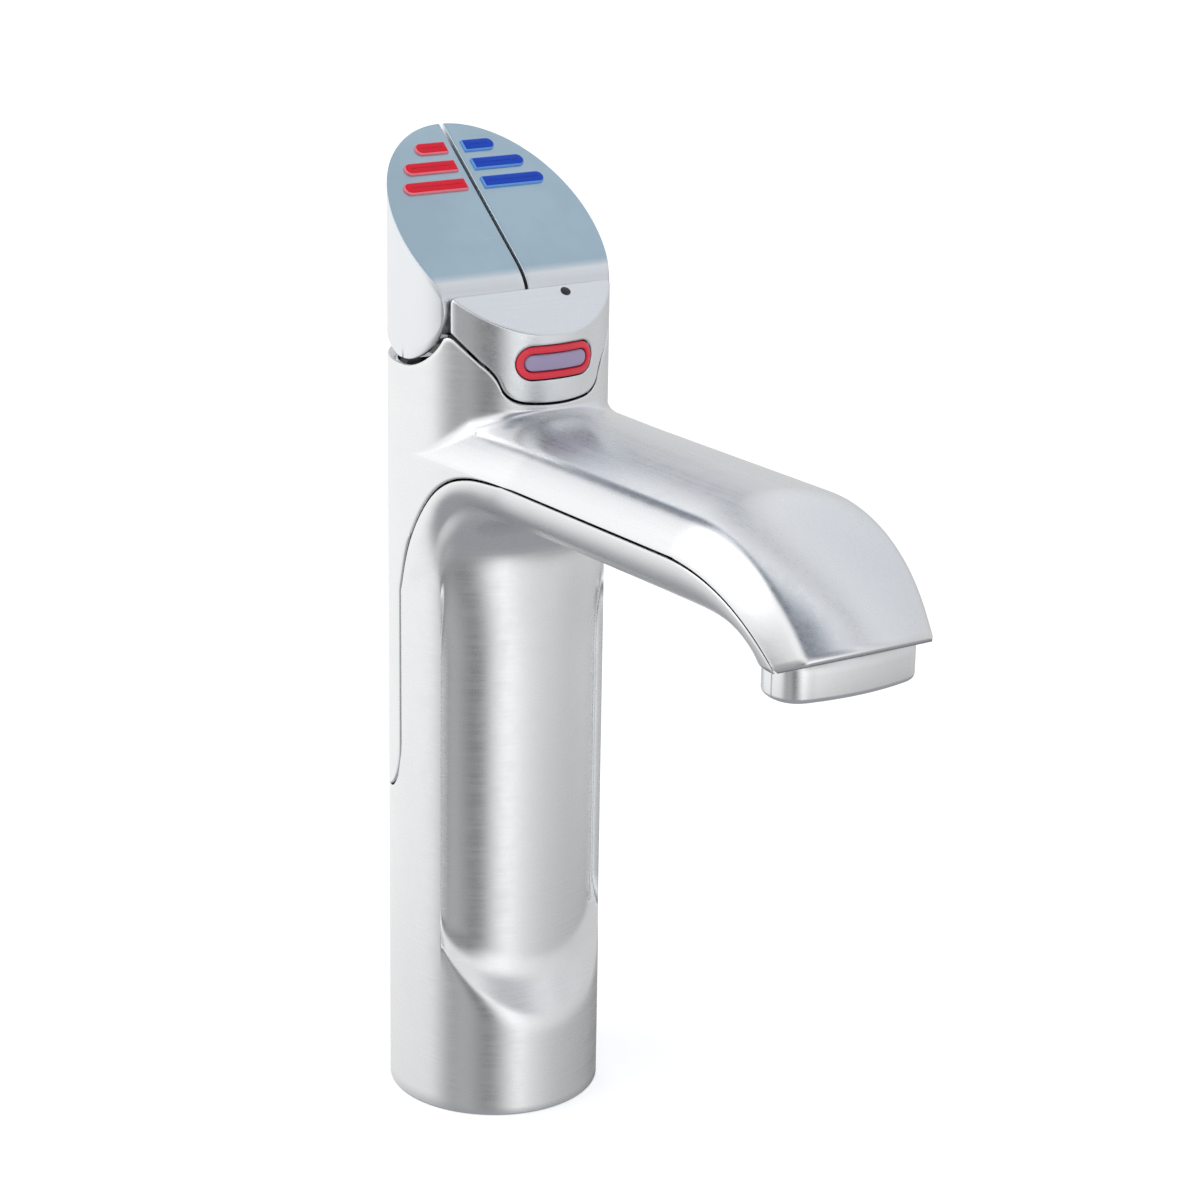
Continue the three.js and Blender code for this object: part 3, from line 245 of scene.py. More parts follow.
def mesh_from_grids(name, grids, outward):
    """One mesh from grids of millimetre points; shared edges are merged and the faces turned outwards.

    Each grid is (points, wrap). outward is a function of face centres that gives the outward direction
    where it is certain, and zero elsewhere.
    """
    points, faces, start = [], [], 0
    for grid, wrap in grids:
        rows, columns = grid.shape[:2]
        faces.append(grid_faces(rows, columns, start, wrap))
        points.append(grid.reshape(-1, 3))
        start += rows * columns
    mesh = bpy.data.meshes.new(name)
    mesh.from_pydata((np.vstack(points) * MM).tolist(), [], np.vstack(faces).tolist())
    work = bmesh.new()
    work.from_mesh(mesh)
    bmesh.ops.remove_doubles(work, verts=work.verts, dist=MERGE * MM)
    bmesh.ops.dissolve_degenerate(work, edges=work.edges, dist=MERGE * MM * 0.25)
    loose = [v for v in work.verts if not v.link_faces]
    bmesh.ops.delete(work, geom=loose, context="VERTS")
    bmesh.ops.recalc_face_normals(work, faces=work.faces)
    work.to_mesh(mesh)
    work.free()
    mesh.update()
    centres = vectors(mesh.polygons, "center") / MM
    if (vectors(mesh.polygons, "normal") * outward(centres)).sum() < 0:
        mesh.flip_normals()
    mesh.polygons.foreach_set("use_smooth", np.ones(len(mesh.polygons), bool))
    mesh.update()
    return mesh


def add_piece(name, mesh, body, material, nodes):
    """Links a finished mesh as a piece that rides on a body and replaces CAD nodes."""
    piece = bpy.data.objects.new(name, mesh)
    bpy.context.scene.collection.objects.link(piece)
    mesh.materials.append(material)
    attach(piece, body)
    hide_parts(*nodes)
    return piece


def add_closed(name, grid, inside, body, material, node):
    """Adds a piece whose rows are closed rings round a point inside it, in place of one node."""
    mesh = mesh_from_grids(name, [(grid, True)], away_from(inside))
    return add_piece(name, mesh, body, material, (node,))


def thicken(piece, thickness, shares=None):
    """Gives an open shell its wall, inwards; shares, one for each vertex, thin it in ten steps."""
    wall = piece.modifiers.new("wall", "SOLIDIFY")
    if shares is not None:
        group = piece.vertex_groups.new(name="wall")
        steps = np.clip(np.ceil(shares * 10), 1, 10).astype(int)
        for step in range(1, 11):
            group.add(np.flatnonzero(steps == step).tolist(), step / 10 - 0.05 * (step < 10), "REPLACE")
        wall.vertex_group = group.name
    wall.thickness = thickness
    wall.offset = -1
    wall.use_even_offset = False
    wall.use_rim = True


def place(x, forward, height):
    """Points (x, y, z) from x, forward and height."""
    return stacked(x, -forward, height)


def away_from_axis(centres):
    """Outward on the plain column below the recess and on the rear: straight away from the axis."""
    certain = (centres[:, 1] > 8) & (np.hypot(centres[:, 0], centres[:, 1]) > 25)
    return centres * [1, 1, 0] * certain[:, None]


def away_from(point):
    """Outward for a closed piece: away from a point inside it."""
    return lambda centres: centres - np.asarray(point, float)


# ---------------------------------------------------------------- the castings' joint line

# Seen from the side, as forward distance and height. It is level round the rear, turns up, stands upright,
# rises in a bend to the level part along the spout, and ends down the nose.
SEAM_REAR = (-14.0, 90.5)
SEAM_TURN = 91.5                  # height of the corner that the turn at the rear is drawn round
SEAM_BACK = -2.0                  # forward distance of the upright part
SEAM_HALF = 29.93                 # half width of the column along it
SEAM_LOW = (SEAM_BACK, 105.5)
SEAM_HIGH = (SEAM_BACK, 150.5)
SEAM_RISE = [SEAM_HIGH, (2.6, 165.6), (9.8, 177.8), (18.6, 185.3), (30.0, 189.2), (45.0, 190.5)]
SEAM_LEVEL = 190.5
SEAM_NOSE = [(117.0, 190.5), (142.0, 190.0), (156.0, 171.4)]
FLARE_END = 48.0                  # forward distance up to which the spout narrows
SIDE = 27.4                       # half width of the spout from there on
NOSE_TAPER = 3.9                  # how much less that is at the mouth
TANGENT = 3.24                    # forward distance at which the spout's side leaves the column


def spout_side(forward):
    """Half width of the spout: 30 on the axis, narrowing evenly to 27.4 at the flare's end."""
    return COLUMN - (COLUMN - SIDE) * np.clip(np.asarray(forward) / FLARE_END, 0, 1)


def seam_side(forward):
    """Half width of the body along the joint line's bend."""
    at = [SEAM_BACK, 0.0, TANGENT, 9.8, 18.6, 30.0, 45.0]
    width = [SEAM_HALF, COLUMN, 29.82, 29.2, 28.75, 28.32, 27.56]
    return np.interp(forward, at, width)


def seam_height(forward):
    """Height of the joint line between its upright part and the spout."""
    rise = curve_through(SEAM_RISE)
    return np.interp(forward, rise[:, 0], rise[:, 1])


def rolled(distance, radius):
    """How far a rounded edge drops below the surface, at a distance from the edge."""
    near = np.clip(radius - distance, 0, radius)
    return radius - np.sqrt(radius ** 2 - near ** 2)


def low_turn(u):
    """Forward distance and height of the joint line's turn at the rear, from level at 0 to upright at 1.

    The distance is -2 - 12(1-u)^2, and the height a quadratic curve from 90.5 by 91.5 to 105.5.
    """
    forward = SEAM_BACK + (SEAM_REAR[0] - SEAM_BACK) * (1 - u) ** 2
    return forward, (1 - u) ** 2 * SEAM_REAR[1] + 2 * u * (1 - u) * SEAM_TURN + u ** 2 * SEAM_LOW[1]


def polar(angle, radius, height):
    """Points (x, forward, height) at angles from the front, radii and heights."""
    return stacked(radius * np.sin(angle), radius * np.cos(angle), height)


ROLL = np.array([0.0, 0.08, 0.25, 0.55])       # samples across a rounded edge, as shares of its radius


# ---------------------------------------------------------------- lower casting

RECESS_EDGE = (26.6, 13.87)       # x and forward distance of the recess's edge
RECESS_FOOT = (25.6, 11.1)        # where its side wall meets its floor
DISH_HALF = 25.3                  # half width over which the floor's depth lessens
DISH_EDGE_DEPTH = 2.25            # the floor's depth at that half width
ARCH_START = 160.0                # height at which the recess starts to curve out under the spout
ARCH_END = 41.5                   # forward distance at which the underside is level
ARCH_EDGE = [(RECESS_EDGE[1], ARCH_START), (14.1, 166.0), (15.6, 171.8), (19.6, 176.8), (26.0, 179.6),
             (37.0, 180.2)]       # the edge's way round the arch, as forward distance and height
SOLE_HALF = 22.4                  # half width of the spout's underside where the arch ends
SOLE_LIFT = 0.9                   # how much higher its edge is than its middle
SOLE_REACH = 24.0                 # how far its middle goes on along the nose, and how far it comes down there
SOLE_FALL = 6.6
BELLY_START = 132.0               # height from which the recess's floor grows rounder, over 30
U_CENTRE = 54.8                   # the U at the recess's foot: height of its centre, and its radius
U_RADIUS = 26.8
U_SLOPE = 0.40                    # depth that the scoop gains for each millimetre above the U
EDGE_ROLL = 0.6                   # rounding at the column's foot and where the underside ends
COLUMN_ROWS, ARCH_ROWS, SPOUT_ROWS, NOSE_ROWS = 20, 44, 20, 34
WALL_COLUMNS = 7                  # columns of points from the recess's floor to its edge


def recess_floor(x, depth):
    """Forward distance of the recess's floor: a circle whose depth lessens with the square of x."""
    share = np.abs(x) / DISH_HALF
    return circle(x, COLUMN - (depth + (DISH_EDGE_DEPTH - depth) * share ** 2))


def between(x, start, end, share):
    """A grid with a given x, whose (forward, height) goes from one line of points to another."""
    return np.concatenate([
        x[..., None], start[:, None] + (end - start)[:, None] * share[..., None]], axis=-1)


def lower_paths(depth):
    """The lines that the lower casting's front is drawn between, from under the joint line to the mouth.

    Gives the joint line, the edge and the middle of the underside as (forward, height), then the half width
    at the first two, and how far each row's section is the spout's rather than the column's.
    """
    column = np.linspace(0, 1, COLUMN_ROWS)[:-1]
    arch = np.linspace(0, 1, ARCH_ROWS)
    spout = np.linspace(0, 1, SPOUT_ROWS)[1:]
    nose = np.linspace(0, 1, NOSE_ROWS)[1:]
    turn = arch * math.pi / 2
    upright = SEAM_LOW[1] + (SEAM_HIGH[1] - SEAM_LOW[1]) * column
    front_upright = SEAM_LOW[1] + (ARCH_START - SEAM_LOW[1]) * column
    rise = resample(curve_through(SEAM_RISE), arch)
    level_forward = SEAM_RISE[-1][0] + (SEAM_NOSE[0][0] - SEAM_RISE[-1][0]) * spout
    seam = np.vstack([
        stacked(SEAM_BACK, upright), rise, stacked(level_forward, SEAM_LEVEL),
        resample(bezier(*SEAM_NOSE, np.linspace(0, 1, 200)), nose),
    ])
    centre = float(recess_floor(0.0, depth))
    middle = np.vstack([
        stacked(centre, front_upright),
        stacked(centre + (ARCH_END - centre) * (1 - np.cos(turn)),
                ARCH_START + (SPOUT_FLOOR - ARCH_START) * np.sin(turn)),
        stacked(ARCH_END + (NOSE_START - ARCH_END) * spout, SPOUT_FLOOR),
        stacked(NOSE_START + SOLE_REACH * np.sin(nose * math.pi / 2),
                SPOUT_FLOOR - SOLE_FALL * nose ** 2.5),
    ])
    arch_end, sole_end = np.array(ARCH_EDGE[-1]), np.array([NOSE_START, SPOUT_FLOOR + SOLE_LIFT])
    edge = np.vstack([
        stacked(RECESS_EDGE[1], front_upright), resample(curve_through(ARCH_EDGE), arch),
        arch_end + (sole_end - arch_end) * spout[:, None],
        middle[-len(nose):] + stacked(0.0, SOLE_LIFT * (1 - nose ** 2)),
    ])
    seam_x = np.concatenate([
        0 * column + SEAM_HALF, seam_side(rise[:, 0]), spout_side(level_forward),
        SIDE - NOSE_TAPER * nose ** 2])
    edge_x = np.concatenate([
        0 * column + RECESS_EDGE[0], RECESS_EDGE[0] + (SOLE_HALF - RECESS_EDGE[0]) * smoothstep(arch),
        SOLE_HALF - 1.4 * spout, SOLE_HALF - 1.4 - 2.0 * nose ** 2])
    spoutness = np.concatenate([0 * column, smoothstep((arch - 0.08) / 0.8), np.ones(len(spout) + len(nose))])
    return seam, edge, middle, seam_x[:, None], edge_x[:, None], spoutness[:, None]


def lower_front(body):
    """Half of the lower casting above the base: a section carried up the column and out along the spout.

    In each row the floor runs from the middle to the edge, and the side from the edge to the joint line.
    The column's section (circle, wall, dish) turns into the spout's (leaning side, flat sole) over the
    arch, where the grid is smoothed in both directions.
    """
    depth = millimetres(body.recess_depth)
    gap = millimetres(body.joint_gap) / 2
    roll = millimetres(body.edge_radius)
    seam, edge, middle, seam_x, edge_x, spoutness = lower_paths(depth)
    span = np.linalg.norm(edge - seam, axis=1)[:, None]
    start = (gap + roll) / span
    inner = 1 + (start - 1) * np.linspace(0, 1, 34)[None, 1:] ** 1.35
    q = np.hstack([inner, (gap + roll * ROLL[None, ::-1]) / span])
    drop = rolled(q * span - gap, roll)
    round_forward = SEAM_BACK + (RECESS_EDGE[1] - SEAM_BACK) * q
    bulge = (SEAM_HALF - circle(round_forward)) / (SEAM_HALF - RECESS_EDGE[0])
    t = np.linspace(0, 1, 80)
    leaning = np.interp(q, 2 * t * (1 - t) * 0.7 + t ** 2, 2 * t * (1 - t) * 0.05 + t ** 2)
    bend = bulge + (leaning - bulge) * spoutness
    side = between(seam_x - (seam_x - edge_x) * bend - drop, seam, edge, q)

    p = 1 - (1 - np.linspace(0, 1, 30)) ** 1.25
    w = np.linspace(0, 1, WALL_COLUMNS + 1)[1:]
    foot_x, foot_forward = RECESS_FOOT
    dish_x = np.concatenate([foot_x * p, foot_x + (RECESS_EDGE[0] - foot_x) * w])
    dish_forward = np.concatenate([
        recess_floor(foot_x * p, depth), foot_forward + (RECESS_EDGE[1] - foot_forward) * w])
    dish = (dish_forward - RECESS_EDGE[1]) / (recess_floor(0.0, depth) - RECESS_EDGE[1])
    belly = 1 - (dish_x / RECESS_EDGE[0]) ** 2.3
    fade = smoothstep((edge[:, 1] - BELLY_START) / 30.0)
    fade[COLUMN_ROWS - 1:] = 1.0
    dish = dish + (belly - dish) * fade[:, None]
    sole_x = np.concatenate([0.9 * p, 0.9 + 0.1 * w])
    sole = np.concatenate([np.ones_like(p), 1 - w ** 2])
    across = dish_x / RECESS_EDGE[0] * (1 - spoutness) + sole_x * spoutness
    floor = between(edge_x * across, edge, middle, dish * (1 - spoutness) + sole * spoutness)

    half = np.concatenate([floor, side], axis=1)
    row, columns = np.arange(len(half)), np.arange(half.shape[1])
    edge_column = floor.shape[1] - 1
    foot_column = edge_column - WALL_COLUMNS
    crisp = soften(half, foot_column, 3, 4)
    soft = soften(soften(half, foot_column, 5, 10), edge_column, 6, 24)
    half = crisp + (soft - crisp) * smoothstep((row - COLUMN_ROWS + 8) / 16.0)[:, None, None]
    in_arch = smoothstep((row - COLUMN_ROWS + 3) / 8.0)
    in_arch = in_arch * smoothstep((COLUMN_ROWS + ARCH_ROWS - 8 - row) / 14.0)
    half = melt(half, in_arch[:, None] * smoothstep((edge_column + 9 - columns) / 9.0), 70)
    half[..., 0] = np.minimum(half[..., 0], COLUMN)
    lift = rolled(np.linalg.norm(half[:, :, 1:] - half[-1:, :, 1:], axis=-1), EDGE_ROLL)
    half[..., 2] += lift * (row > len(half) - 8)[:, None] * (columns < edge_column + 3)
    return half


def soften(grid, column, reach, passes):
    """Rounds the crease along one column: columns near it move towards the mean of their neighbours."""
    grid = grid.copy()
    index = np.arange(grid.shape[1])
    weight = np.clip(1 - np.abs(index - column) / (reach + 1), 0, 1)[None, 1:-1, None]
    for _ in range(passes):
        mean = (grid[:, :-2] + grid[:, 2:]) / 2
        grid[:, 1:-1] += weight * (mean - grid[:, 1:-1]) * 0.8
    return grid


def melt(grid, weight, passes):
    """Smooths a grid in both directions by its weights; the first column is the middle plane's."""
    weight = weight[1:-1, :-1, None] * 0.8
    for _ in range(passes):
        beyond = grid[:, 1:2] * np.array([-1.0, 1.0, 1.0])
        wide = np.concatenate([beyond, grid], axis=1)
        mean = (wide[:-2, 1:-1] + wide[2:, 1:-1] + wide[1:-1, :-2] + wide[1:-1, 2:]) / 4
        grid = grid.copy()
        grid[1:-1, :-1] += weight * (mean - grid[1:-1, :-1])
    return grid


def lower_base(body, first_row):
    """Half of the column below the joint line: a cylinder with the recess's U scooped out of its front.

    Columns go on down from the first row of the part above, then round the rear. A row of points follows
    the U, whose height is 54.8 - sqrt(26.8^2 - x^2); above it the scoop deepens by 0.4 a millimetre until
    it reaches the recess's full depth.
    """
    gap = millimetres(body.joint_gap) / 2
    roll = millimetres(body.edge_radius)
    x, forward = first_row[:, 0], first_row[:, 1]
    seam_angle = math.acos(SEAM_BACK / COLUMN)
    rear = seam_angle + (math.pi - seam_angle) * np.linspace(0, 1, 30)[1:]
    rear_x, rear_forward = COLUMN * np.sin(rear), COLUMN * np.cos(rear)
    behind = (SEAM_BACK - rear_forward) / (SEAM_BACK - SEAM_REAR[0])
    rear_top = low_turn(1 - np.sqrt(np.clip(behind, 0, 1)))[1]
    round_x = np.concatenate([np.minimum(x, COLUMN - 0.001), rear_x])
    full_forward = np.concatenate([forward, rear_forward])
    in_recess = x < RECESS_EDGE[0] + 0.01
    plain_forward = np.concatenate([np.where(in_recess, circle(x), forward), rear_forward])
    plain_x = np.concatenate([np.where(x > RECESS_EDGE[0], circle(forward), x), rear_x])
    top = np.concatenate([np.full(len(x), SEAM_LOW[1]), rear_top - gap])
    foot = U_CENTRE - np.sqrt(U_RADIUS ** 2 - np.minimum(round_x, RECESS_EDGE[0]) ** 2)
    low = EDGE_ROLL * np.append(ROLL, 1.0)
    below = np.linspace(0, 1, 16)[1:, None]
    above = np.linspace(0, 1, 50)[1:, None] ** 1.15
    height = np.vstack([
        np.repeat(low[:, None], len(foot), 1), EDGE_ROLL + (foot - EDGE_ROLL) * below,
        foot + (top - roll - foot) * above, top - roll * ROLL[::-1, None],
    ])
    at_rear = np.arange(len(top)) >= len(x)
    full = np.maximum(plain_forward - full_forward, 0)
    scoop = np.where(height > foot, soft_min(full, (height - foot) * U_SLOPE, 1.6), 0)
    scoop = np.maximum(scoop, 0)
    shrink = 1 - (rolled(height, EDGE_ROLL) + rolled(top - height, roll) * at_rear) / COLUMN
    seam_fade = smoothstep((SEAM_LOW[1] - height) / 2.5)
    base_x = round_x * shrink + (plain_x - round_x) * seam_fade * ~at_rear
    grid = stacked(base_x, (plain_forward - scoop) * shrink, height)
    crease = len(low) + len(below) - 1
    smooth = np.swapaxes(soften(np.swapaxes(grid, 0, 1), crease, 3, 3), 0, 1)
    return np.concatenate([grid[:len(low)], smooth[len(low):]])


# ---------------------------------------------------------------- upper casting

FASCIA_HALF = 25.0                # half width of the fascia
OPENING_HALF = 25.6               # half width of its opening in the tower
SADDLE_RADIUS = 16.1              # of the hollows that the levers' lobes turn in
RIM_HEIGHT = 214.4                # height of the rear's top edge
TOWER_TOP = 223.9                 # the highest that the tower's top edge comes
RIDGE = 21.3                      # half width between the ridges of the spout's top
NOSE_RADIUS = 46.0                # the ridge's turn down at the nose, its angle, and the fall of its tail
NOSE_TURN = math.radians(54)
NOSE_TAIL = 7.0
LIP_ROLL = 0.8                    # rounding where the nose ends
EDGE_START = 47.0                 # forward distance from which the spout's lower edge is rounded
THIN_WALL = 0.18                  # share of the wall below the tower, where the sides lean in
THIN_BELOW = 205.0                # height at which the wall starts to thicken to its full size, over 4


def opening_line(grow):
    """Lower edge of the fascia, or of its opening, as x and height from the shoulder to the middle."""
    half, bottom = FASCIA_HALF + grow, 206.5 - grow
    shoulder, waist = 225.3 - grow, half * 0.66
    t = np.linspace(0, 1, 24)
    flank, heel, toe = (waist + 3, bottom + 11.5), (waist - 1.4, bottom + 5), (waist - 8, bottom + 0.6)
    return np.vstack([
        bezier((half, shoulder), (half - 2, shoulder - 3), flank, t),
        bezier(flank, (waist - 0.5, bottom + 8.5), heel, t),
        bezier(heel, (waist - 3, bottom + 1), toe, t),
        bezier(toe, (0, bottom - 0.4), (-toe[0], toe[1]), np.linspace(0, 0.5, 13)),
    ])


def tower_top(angle):
    """Height of the column's top edge, by angle from the front: fascia opening, saddle and rear rim."""
    x, y = COLUMN * np.sin(angle), -COLUMN * np.cos(angle)
    opening = opening_line(0.6)
    front = np.interp(x, opening[::-1, 0], opening[::-1, 1])
    side = np.where(y > 0, RIM_HEIGHT, PIVOT_HEIGHT - circle(y, SADDLE_RADIUS))
    return np.minimum(np.where((x < OPENING_HALF) & (y < 0), front, side), TOWER_TOP)


def spout_section(lateral, height_share, side, seam_to_ridge, crown):
    """x and rise above the joint line across the spout's top.

    Lateral runs 0 to 1 over the crown, an arc through the ridge, and height_share 1 to 0 down the side, a
    quadratic curve from the ridge to the joint line whose height is 1 - 1.1t + 0.1t^2.
    """
    ridge = RIDGE * (side / SIDE) ** 0.8
    radius = (ridge ** 2 + crown ** 2) / (2 * crown)
    arc = lateral * np.arcsin(ridge / radius)
    crown_x = radius * np.sin(arc)
    crown_rise = seam_to_ridge + crown - radius * (1 - np.cos(arc))
    a, b = 1.1, 0.1
    t = (a - np.sqrt(a ** 2 - 4 * b * (1 - height_share))) / (2 * b)
    side_x = (1 - t) ** 2 * ridge + 2 * t * (1 - t) * (0.42 * ridge + 0.60 * side) + t ** 2 * side
    side_rise = seam_to_ridge * height_share
    on_crown = lateral < 1
    return np.where(on_crown, crown_x, side_x), np.where(on_crown, crown_rise, side_rise)


def wall_below(angle, top, low, roll):
    """The column's wall from its rounded top edge down to a height, by angle from the front."""
    share = np.linspace(0, 1, 20)[1:, None]
    height = np.vstack([top - roll * ROLL[:, None], top - roll + (low - top + roll) * share])
    return polar(angle, COLUMN - rolled(top - height, roll), height)


def nose_grid(lateral, share, gap, crown, edge_drop):
    """Half of the nose: the spout's section stood up between the joint line and a ridge that turns down.

    The ridge is an arc of 46 through 54 degrees, then a straight tail 7 high. The section narrows by
    3.9 times the square of the way along, and the mouth's edge is rounded over 0.8.
    """
    k = np.linspace(0, 1, 40)[1:]
    seam = bezier(*SEAM_NOSE, np.linspace(0, 1, 300))
    seam = resample(seam[seam[:, 0] >= NOSE_START], k)
    turn = np.linspace(0, NOSE_TURN, 60)
    ridge = stacked(NOSE_START + NOSE_RADIUS * np.sin(turn), SPOUT_TOP - NOSE_RADIUS * (1 - np.cos(turn)))
    tail = np.linspace(0, 1, 12)[1:, None] * np.array([NOSE_TAIL / math.tan(NOSE_TURN), -NOSE_TAIL])
    ridge = resample(np.vstack([ridge, ridge[-1] + tail]), k)
    height = np.linalg.norm(ridge - seam, axis=1)[:, None]
    up = (ridge - seam) / height
    seam = seam + up * gap
    side = (SIDE - NOSE_TAPER * k ** 2)[:, None]
    x, local = spout_section(lateral, share, side, height - gap, crown)
    nose = np.concatenate([
        (x - edge_drop)[..., None], seam[:, None] + up[:, None] * local[..., None]], axis=-1)
    inward = rolled(np.linalg.norm(nose - nose[-1:], axis=-1), LIP_ROLL)
    over = np.clip(local / (height - gap), 0, 1) * (lateral < 1)
    nose[..., 1:] -= inward[..., None] * up[:, None] * over[..., None]
    nose[..., 0] -= inward * (1 - over) * 0.8
    return nose


def bend_grid(forward, first_x, level, gap, roll):
    """Half of the strip between the spout's lower edge and the joint line's bend, a row for each distance.

    Its half width goes over from the spout's to the body's by a smooth step down the strip.
    """
    low = np.minimum(seam_height(forward) + gap, level)
    span = level - low
    body_part = np.linspace(0, 1, 12)[None, :11] * np.maximum(span - roll, span * 0.5)
    depth = np.hstack([body_part, span - np.minimum(roll * ROLL[::-1], span * 0.5)])
    wide = spout_side(forward)
    narrow = np.minimum(seam_side(forward), wide)
    x = wide + (narrow - wide) * smoothstep(depth / np.maximum(span, 1e-6))
    x[0] = first_x
    x = x - rolled(level - depth - low, roll) * (depth > 0)
    return stacked(x, forward, level - depth)


def rear_grids(first, side_top, bend_heights, level, gap, roll):
    """Half of the rear above and below the spout's lower edge, from an angle at the side to the middle.

    Rows of the lower one stand at the heights of the bend's first row and then at those of the joint line,
    which they follow down and round the rear. Its edges are rounded.
    """
    spread = np.concatenate([[0.0], np.linspace(0.012, 1, 36)])
    rear_angle = first + (math.pi - first) * spread
    rear_top = tower_top(rear_angle)
    rear_top[0] = side_top
    rise_line = curve_through(SEAM_RISE)
    heights = np.concatenate([
        np.linspace(bend_heights[-1], SEAM_HIGH[1], 12)[1:], np.linspace(SEAM_HIGH[1], SEAM_LOW[1], 14)[1:]])
    u = np.linspace(1, 0, 12)[1:]
    turn_forward, turn_height = low_turn(u)
    heights_down = np.concatenate([bend_heights, heights, turn_height + gap])[:, None]
    left = np.concatenate([
        np.full(len(bend_heights), first),
        np.arccos(np.interp(heights, rise_line[:, 1], rise_line[:, 0]) / COLUMN) + gap / COLUMN,
        np.arccos(turn_forward / COLUMN) + gap / COLUMN * u])[:, None]
    angles = left + (math.pi - left) * spread
    free = (np.arange(len(left)) >= len(bend_heights))[:, None]
    side_drop = rolled((angles - left) * COLUMN, roll) * free
    bottom_drop = rolled(heights_down - heights_down[-1], roll)
    rear_low = polar(angles, COLUMN - np.maximum(side_drop, bottom_drop), heights_down)
    return wall_below(rear_angle, rear_top, level, roll), rear_low


def upper_grids(body):
    """Half of the upper casting, as grids of (x, forward, height).

    Lines run down the tower's front, over a fillet, and along the spout to the mouth. Two more grids fill
    the joint line's bend on the side and wrap the rear.
    """
    gap = millimetres(body.joint_gap) / 2
    roll = millimetres(body.edge_radius)
    crown = millimetres(body.crown)
    level = SEAM_LEVEL + gap
    rise = SPOUT_TOP - level
    crown_share = np.linspace(0, 1, 32)
    side_distance = np.concatenate([np.linspace(rise, roll, 16)[1:], roll * ROLL[::-1]])
    lateral = np.concatenate([crown_share, np.ones(len(side_distance))])
    share = np.concatenate([np.ones(len(crown_share)), side_distance / rise])
    edge_drop = rolled(np.where(share < 0.999, share * rise, 99.0), roll)

    def along_spout(forward):
        """A row of points across the spout, each at its own forward distance."""
        x, up = spout_section(lateral, share, spout_side(forward), rise, crown)
        return stacked(x, forward, level + up)

    meet = np.full(len(lateral), 12.0)
    for _ in range(60):
        meet = 0.5 * meet + 0.5 * np.maximum(circle(along_spout(meet)[:, 0]), TANGENT)
    meet_x, _, meet_height = along_spout(meet).T
    angle = np.arctan2(meet_x, meet)
    top = tower_top(angle)
    fade = share ** 0.8
    wall = wall_below(angle, top, meet_height + soft_min(3.6 * fade, (top - meet_height) * 0.55, 1.2), roll)
    spout_start = meet + 5.0 * fade
    t = np.linspace(0, 1, 10)[1:-1, None, None]
    fillet = ((1 - t) ** 2 * wall[-1] + 2 * t * (1 - t) * polar(angle, COLUMN, meet_height)
              + t ** 2 * along_spout(spout_start))
    run = np.linspace(0, 1, 46)[:, None] ** 1.2
    forward = spout_start + (NOSE_START - spout_start) * run
    spout = np.stack([along_spout(row) for row in forward])
    spout[..., 0] -= edge_drop * smoothstep((forward[:, -1:] - EDGE_START) / 4.0)
    nose = nose_grid(lateral, share, gap, crown, edge_drop)
    crease = len(crown_share) - 1
    front = np.concatenate([wall, fillet, soften(np.concatenate([spout, nose]), crease, 3, 3)])
    low_edge = forward[:, -1]
    bend = bend_grid(low_edge[low_edge < EDGE_START + 0.5, None], spout[0, -1, 0], level, gap, roll)
    return front, bend, *rear_grids(float(angle[-1]), top[-1], bend[0, :, 2], level, gap, roll)


# ---------------------------------------------------------------- levers and their bars

LOBE = 14.6                       # radius of the lever about its hinge
FACE_HEIGHT = 248.1               # height of the sloping face's plane over the column's axis
FACE_SLOPE = 0.81
FACE_ANGLE = math.atan(FACE_SLOPE)
GROOVE = 0.55                     # half of the groove between the levers
LEVER_WALL = 2.2
TAIL_ANGLE = math.radians(16)     # slope of the underside behind the lobe
BAR_HALF = 2.0                    # half width of a colour bar
BAR_INNER = 2.6                   # where the bars start, as x
BAR_OUTER = (12.5, 18.9, 22.1)    # where each of them ends
BAR_FIRST = 22.9                  # y of the rearmost bar, and the distance to the next
BAR_PITCH = 5.2


def lever_lines(lip):
    """Side view of a lever as (y, z): its top from the lobe's front to the rear, and its underside likewise.

    The lobe is a circle about the pivot. A quadratic curve takes it into the sloping face.
    """
    low = math.asin(2.5 / LOBE)
    turn = np.linspace(0, low, 6)
    arc = stacked(-LOBE * np.cos(turn), PIVOT_HEIGHT + LOBE * np.sin(turn))
    over = arc[-1, 1] - FACE_HEIGHT - FACE_SLOPE * arc[-1, 0]
    reach = over / (FACE_SLOPE * math.sin(low) - math.cos(low))
    corner = arc[-1] + reach * np.array([math.sin(low), math.cos(low)])
    face_start = corner[0] + lip * 0.5
    lip_end = (face_start, FACE_HEIGHT + FACE_SLOPE * face_start)
    lip_line = bezier(arc[-1], corner, lip_end, np.linspace(0, 1, 30))
    top = np.vstack([arc, lip_line[1:], [(COLUMN, FACE_HEIGHT + FACE_SLOPE * COLUMN)]])
    down = np.linspace(math.pi, 1.5 * math.pi + TAIL_ANGLE, 60)
    under = stacked(LOBE * np.cos(down), PIVOT_HEIGHT + LOBE * np.sin(down))
    tail = (COLUMN, under[-1, 1] + (COLUMN - under[-1, 0]) * math.tan(TAIL_ANGLE))
    return top, np.vstack([under, [tail]])


def part_of_line(line, front, rear, shares):
    """Points of a (y, z) line between two y values, for each column; y grows along the line."""
    along = way_along(line)
    start = np.interp(front, line[:, 0], along)
    end = np.interp(rear, line[:, 0], along)
    wanted = start + (end - start) * shares[:, None]
    return np.interp(wanted, along, line[:, 0]), np.interp(wanted, along, line[:, 1])


